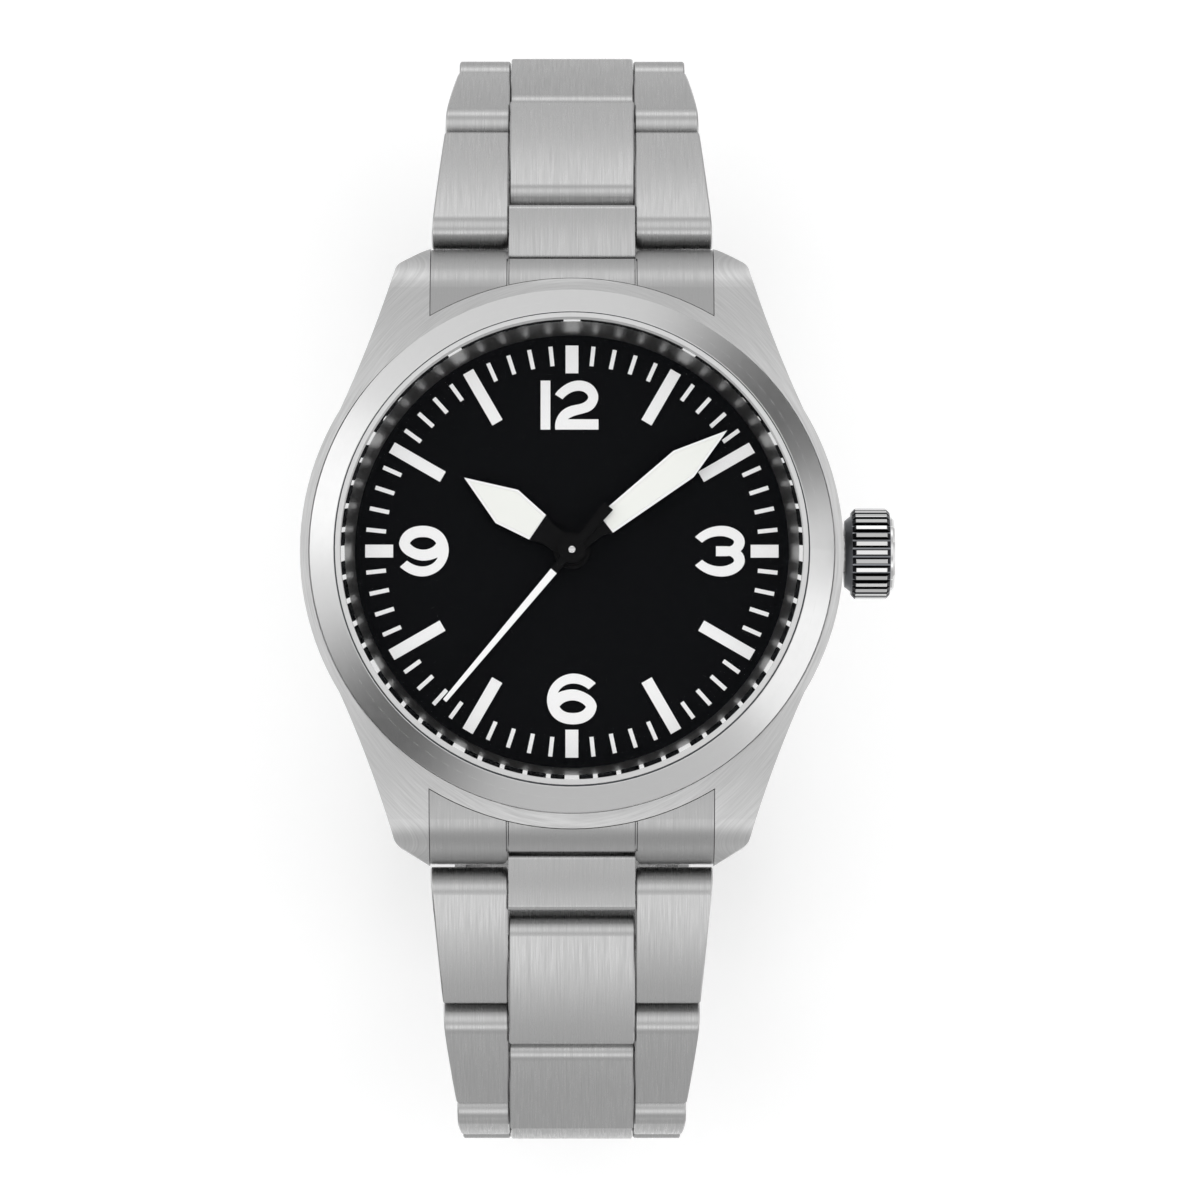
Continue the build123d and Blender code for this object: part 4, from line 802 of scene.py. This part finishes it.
class WATCH_OT_hands(bpy.types.Operator):
    """Finishes the hands and adds the steel cap on the seconds hand's hub"""

    bl_idname = "watch.hands"
    bl_label = "Hands"

    def execute(self, context):
        for hand in HANDS:
            dress(f"{hand}_lacquer", hand)
        dress("luminous_paste", "hour_hand_lume", "minute_hand_lume")
        start_piece()
        bpy.ops.mesh.primitive_cylinder_add(
            vertices=ROUND_SIDES,
            radius=context.scene.watch_sizes.hub_radius,
            depth=CAP_HEIGHT,
            location=(0, 0, CAP_FOOT + CAP_HEIGHT / 2),
        )
        select_end(1)
        bpy.ops.mesh.inset(**CAP_RING)
        bpy.ops.mesh.inset(**CAP_DIMPLE)
        keep_piece("seconds_hand_cap", "seconds_train", "316L_steel_polished")
        return {"FINISHED"}


class WATCH_OT_crown(bpy.types.Operator):
    """Finishes the crown, its tube, its seal and the stem"""

    bl_idname = "watch.crown"
    bl_label = "Crown"

    def execute(self, context):
        dress("316L_steel_knurled", "crown")
        dress("316L_steel_turned", "crown_tube", "winding_stem")
        dress("nitrile_rubber", "crown_gasket")
        return {"FINISHED"}


class WATCH_OT_movement(bpy.types.Operator):
    """Finishes the movement"""

    bl_idname = "watch.movement"
    bl_label = "Movement"

    def execute(self, context):
        dress("nickel_plate", "main_plate", "train_bridge")
        dress("moulded_acetal", "movement_ring")
        dress("gilt_brass", "mainspring_barrel", "centre_wheel", "seconds_wheel", "hour_wheel")
        dress("gilt_brass", "balance_wheel")
        dress("316L_steel_turned", "winding_rotor")
        return {"FINISHED"}


def model_bridge_screw(radius, height):
    """Models one screw head at the origin: a bevelled disc with a slot, facing down."""
    slot_width = 0.28 * radius
    slot_length = 3 * radius
    start_piece()
    bpy.ops.mesh.primitive_cylinder_add(vertices=ROUND_SIDES, radius=radius, depth=height)
    head = bpy.context.object
    select_end(-1)
    bpy.ops.mesh.inset(thickness=0.12 * radius, depth=0.2 * height)
    start_piece()
    bpy.ops.mesh.primitive_cube_add(size=1.0, location=(0, 0, -0.7 * height))
    cutter = bpy.context.object
    cutter.scale = (slot_length, slot_width, height)
    select_piece(head)
    slot = head.modifiers.new("slot", "BOOLEAN")
    slot.operation = "DIFFERENCE"
    slot.object = cutter
    bpy.ops.object.modifier_apply(modifier="slot")
    select_piece(cutter)
    bpy.ops.object.delete()
    return head


def model_jewel(radius, height):
    """Models one pierced jewel at the origin, its oil sink facing down."""
    start_piece()
    bpy.ops.mesh.primitive_cylinder_add(vertices=ROUND_SIDES, radius=radius, depth=height)
    select_end(-1)
    bpy.ops.mesh.inset(thickness=0.15 * radius, depth=0.15 * height)
    bpy.ops.mesh.inset(thickness=0.3 * radius)
    bpy.ops.mesh.inset(thickness=0.2 * radius, depth=-0.4 * height)
    return bpy.context.object


def place_copies(first, name, places, body, finish):
    """Puts a modelled piece at the first place and copies of it, each with its own mesh, at the others."""
    for number, place in enumerate(places, 1):
        select_piece(first)
        if number < len(places):
            bpy.ops.object.duplicate(linked=False)
        bpy.context.object.location = place
        keep_piece(f"{name}_{number}", body, finish)


class WATCH_OT_movement_details(bpy.types.Operator):
    """Adds the train bridge's screws and jewels, seen once the case back is off"""

    bl_idname = "watch.movement_details"
    bl_label = "Screws and jewels"

    def execute(self, context):
        sizes = context.scene.watch_sizes
        level = BRIDGE_UNDERSIDE - sizes.screw_height / 2
        turns = [math.radians(turn) for turn in SCREW_TURNS]
        places = [
            (math.cos(turn) * sizes.screw_ring, math.sin(turn) * sizes.screw_ring, level) for turn in turns
        ]
        screw = model_bridge_screw(sizes.screw_radius, sizes.screw_height)
        place_copies(screw, "bridge_screw", places, "case", "blued_steel")
        pivots = [sum(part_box(wheel), Vector()) / 2 for wheel in JEWELLED_WHEELS]
        places = [(pivot.x, pivot.y, level) for pivot in pivots]
        jewel = model_jewel(sizes.jewel_radius, sizes.screw_height)
        place_copies(jewel, "bridge_jewel", places, "case", "synthetic_ruby")
        return {"FINISHED"}


class WATCH_OT_bracelet(bpy.types.Operator):
    """Finishes the bracelet's links"""

    bl_idname = "watch.bracelet"
    bl_label = "Bracelet"

    def execute(self, context):
        links = [f"{body}_{row}" for body in LINK_BODIES for row in ("outers", "centre")]
        dress("316L_steel_long_brushed", "hinge_link_12", "hinge_link_6", *links)
        return {"FINISHED"}


class WATCH_OT_clasp(bpy.types.Operator):
    """Finishes the folding clasp"""

    bl_idname = "watch.clasp"
    bl_label = "Clasp"

    def execute(self, context):
        dress("316L_steel_long_brushed", "clasp_cover")
        dress("316L_steel_polished", "clasp_button_left", "clasp_button_right")
        dress("316L_steel_turned", "clasp_outer_blade", "clasp_inner_blade", "clasp_button_spring")
        return {"FINISHED"}


def add_softbox(name, place, radiance):
    """A soft rectangular lamp that shines level across the space over the watch."""
    lamp = bpy.data.lights.new(name, "AREA")
    lamp.shape = "RECTANGLE"
    lamp.size = LAMP_WIDTH
    lamp.size_y = LAMP_HEIGHT
    lamp.energy = radiance * math.pi * LAMP_WIDTH * LAMP_HEIGHT
    box = bpy.data.objects.new(name, lamp)
    bpy.context.scene.collection.objects.link(box)
    box.location = place
    box.rotation_mode = "QUATERNION"
    box.rotation_quaternion = (Vector((0, 0, LAMP_LEVEL)) - Vector(place)).to_track_quat("-Z", "Y")
    box.visible_camera = False


def add_card(name, place, aim, width, height, shade):
    """A card that only reflections show: dark or grey in its middle, fading out to its sides."""
    start_piece()
    bpy.ops.mesh.primitive_plane_add(size=1.0)
    card = bpy.context.object
    card.name = name
    card.scale = (width, height, 1.0)
    card.location = place
    card.rotation_mode = "QUATERNION"
    card.rotation_quaternion = (Vector(aim) - Vector(place)).to_track_quat("Z", "Y")
    material = bpy.data.materials.new(name + "_felt")
    material.use_nodes = True
    tree = material.node_tree
    tree.nodes.remove(tree.nodes["Principled BSDF"])
    split = add_node(tree, "ShaderNodeSeparateXYZ", {"Vector": object_coordinates(tree)})
    side = add_node(tree, "ShaderNodeMath", {0: split.outputs["X"]}, operation="ABSOLUTE")
    fade = add_node(
        tree,
        "ShaderNodeMapRange",
        {"Value": side.outputs[0], "From Min": 0.05, "From Max": 0.5},
        interpolation_type="SMOOTHSTEP",
    )
    felt = add_node(tree, "ShaderNodeEmission", {"Color": (shade, shade, shade, 1.0)})
    clear = add_node(tree, "ShaderNodeBsdfTransparent")
    both = add_node(
        tree, "ShaderNodeMixShader", {0: fade.outputs[0], 1: felt.outputs[0], 2: clear.outputs[0]}
    )
    tree.links.new(both.outputs[0], tree.nodes["Material Output"].inputs["Surface"])
    card.data.materials.append(material)
    card.visible_camera = False
    card.visible_diffuse = False
    card.visible_shadow = False


def seen_directly(tree, strength):
    """A strength for camera, mirror and glass rays only, so that it lights nothing else."""
    path = add_node(tree, "ShaderNodeLightPath")
    mirror = add_node(
        tree, "ShaderNodeMath", {0: path.outputs["Is Camera Ray"], 1: path.outputs["Is Glossy Ray"]}
    )
    either = add_node(
        tree,
        "ShaderNodeMath",
        {0: mirror.outputs[0], 1: path.outputs["Is Transmission Ray"]},
        use_clamp=True,
    )
    shown = add_node(tree, "ShaderNodeMath", {0: either.outputs[0], 1: strength}, operation="MULTIPLY")
    return shown.outputs[0]


def add_floor(sizes, colours):
    """A plain pale floor under the clasp, which stays white to the camera and keeps the watch's shadow."""
    grain_width = 33 * MM
    start_piece()
    bpy.ops.mesh.primitive_plane_add(
        size=sizes.floor_size, location=(0, 0, cad_box[0].z - sizes.floor_gap)
    )
    floor = bpy.context.object
    floor.name = "studio_floor"
    material, tree, shader = new_material(
        "pale_studio_paper", Roughness=0.9, Emission_Color=(1.0, 1.0, 1.0, 1.0)
    )
    grain = add_node(
        tree,
        "ShaderNodeTexNoise",
        {"Vector": object_coordinates(tree), "Scale": 1 / grain_width, "Detail": 2.0},
    )
    paint = add_node(
        tree,
        "ShaderNodeMix",
        {0: grain.outputs["Fac"], 6: colours.floor[:], 7: linear("#f2f2f2")},
        data_type="RGBA",
    )
    tree.links.new(paint.outputs[2], shader.inputs["Base Color"])
    tree.links.new(seen_directly(tree, FLOOR_GLOW), shader.inputs["Emission Strength"])
    floor.data.materials.append(material)


def add_world():
    """A pale studio sky in soft bands across the bracelet, each a strip light or the gap between two."""
    world = bpy.data.worlds.new("studio_sky")
    bpy.context.scene.world = world
    world.use_nodes = True
    tree = world.node_tree
    way = add_node(tree, "ShaderNodeTexCoord").outputs["Generated"]
    split = add_node(tree, "ShaderNodeSeparateXYZ", {"Vector": way})
    lean = add_node(
        tree, "ShaderNodeMath", {0: split.outputs["Y"], 1: split.outputs["Z"]}, operation="ARCTAN2"
    )
    place = add_node(
        tree, "ShaderNodeMapRange", {"Value": lean.outputs[0], "From Min": -math.pi, "From Max": math.pi}
    )
    bands = add_node(tree, "ShaderNodeValToRGB", {"Fac": place.outputs[0]})
    bands.color_ramp.interpolation = "EASE"
    elements = bands.color_ramp.elements
    while len(elements) > 1:
        elements.remove(elements[-1])
    for index, (angle, shade) in enumerate(SKY_BANDS):
        share = angle / 360 + 0.5
        element = elements[0] if index == 0 else elements.new(share)
        element.position = share
        element.color = (shade, shade, shade, 1.0)
    tree.links.new(bands.outputs["Color"], tree.nodes["Background"].inputs["Color"])


def add_camera(sizes):
    """The camera at the photograph's angle: nearly overhead, a little towards six o'clock."""
    dial = Vector((0, 0, DIAL_HEIGHT))
    to_camera = Vector((0, -math.sin(CAMERA_TILT), math.cos(CAMERA_TILT)))
    up_dial = Vector((0, math.cos(CAMERA_TILT), math.sin(CAMERA_TILT)))
    place = dial + to_camera * sizes.camera_distance
    right_of_dial = (PHOTO_PIXELS / 2 - DIAL_PIXEL_X) / PIXELS_PER_METRE
    above_dial = (DIAL_PIXEL_Y - PHOTO_PIXELS / 2) / PIXELS_PER_METRE
    frame_middle = dial + Vector((right_of_dial, 0, 0)) + up_dial * above_dial
    ahead = (frame_middle - place).normalized()
    right = ahead.cross(Vector((0, 1, 0))).normalized()
    up = right.cross(ahead)
    data = bpy.data.cameras.new("photo_camera")
    data.sensor_width = SENSOR_WIDTH
    data.lens = SENSOR_WIDTH * sizes.camera_distance * PIXELS_PER_METRE / PHOTO_PIXELS
    data.clip_start = 0.01
    data.clip_end = 20.0
    camera = bpy.data.objects.new("photo_camera", data)
    bpy.context.scene.collection.objects.link(camera)
    turn = Matrix((right, up, -ahead)).transposed().to_4x4()
    camera.matrix_world = Matrix.Translation(place) @ turn
    bpy.context.scene.camera = camera


class WATCH_OT_stage(bpy.types.Operator):
    """Adds the floor, the sky, the soft lamps, the cards and the camera"""

    bl_idname = "watch.stage"
    bl_label = "Stage"

    def execute(self, context):
        sizes = context.scene.watch_sizes
        add_floor(sizes, context.scene.watch_colours)
        add_world()
        for lamp in LAMPS:
            add_softbox(*lamp)
        for card in CARDS:
            add_card(*card)
        add_camera(sizes)
        context.scene.view_settings.view_transform = "Standard"
        return {"FINISHED"}


OPERATORS = (
    WATCH_OT_case,
    WATCH_OT_crystal,
    WATCH_OT_dial,
    WATCH_OT_hands,
    WATCH_OT_crown,
    WATCH_OT_movement,
    WATCH_OT_movement_details,
    WATCH_OT_bracelet,
    WATCH_OT_clasp,
    WATCH_OT_stage,
)


class WATCH_PT_panel(bpy.types.Panel):
    """Lists the steps that dress the watch, and its sizes and colours"""

    bl_idname = "WATCH_PT_panel"
    bl_label = "Field watch"
    bl_space_type = "VIEW_3D"
    bl_region_type = "UI"
    bl_category = "Watch"

    def draw(self, context):
        for group in (context.scene.watch_sizes, context.scene.watch_colours):
            for name in group.__annotations__:
                self.layout.prop(group, name)
        for operator in OPERATORS:
            self.layout.operator(operator.bl_idname)


CLASSES = (WatchColours, WatchSizes, *OPERATORS, WATCH_PT_panel)


def register():
    """Makes the steps and settings known to Blender."""
    for made in CLASSES:
        bpy.utils.register_class(made)
    bpy.types.Scene.watch_colours = bpy.props.PointerProperty(type=WatchColours)
    bpy.types.Scene.watch_sizes = bpy.props.PointerProperty(type=WatchSizes)


def unregister():
    """Takes the steps and settings out again."""
    del bpy.types.Scene.watch_sizes
    del bpy.types.Scene.watch_colours
    for made in reversed(CLASSES):
        bpy.utils.unregister_class(made)


def main():
    register()
    for operator in OPERATORS:
        group, name = operator.bl_idname.split(".")
        getattr(getattr(bpy.ops, group), name)()
    start_piece()


if __name__ == "__main__":
    main()
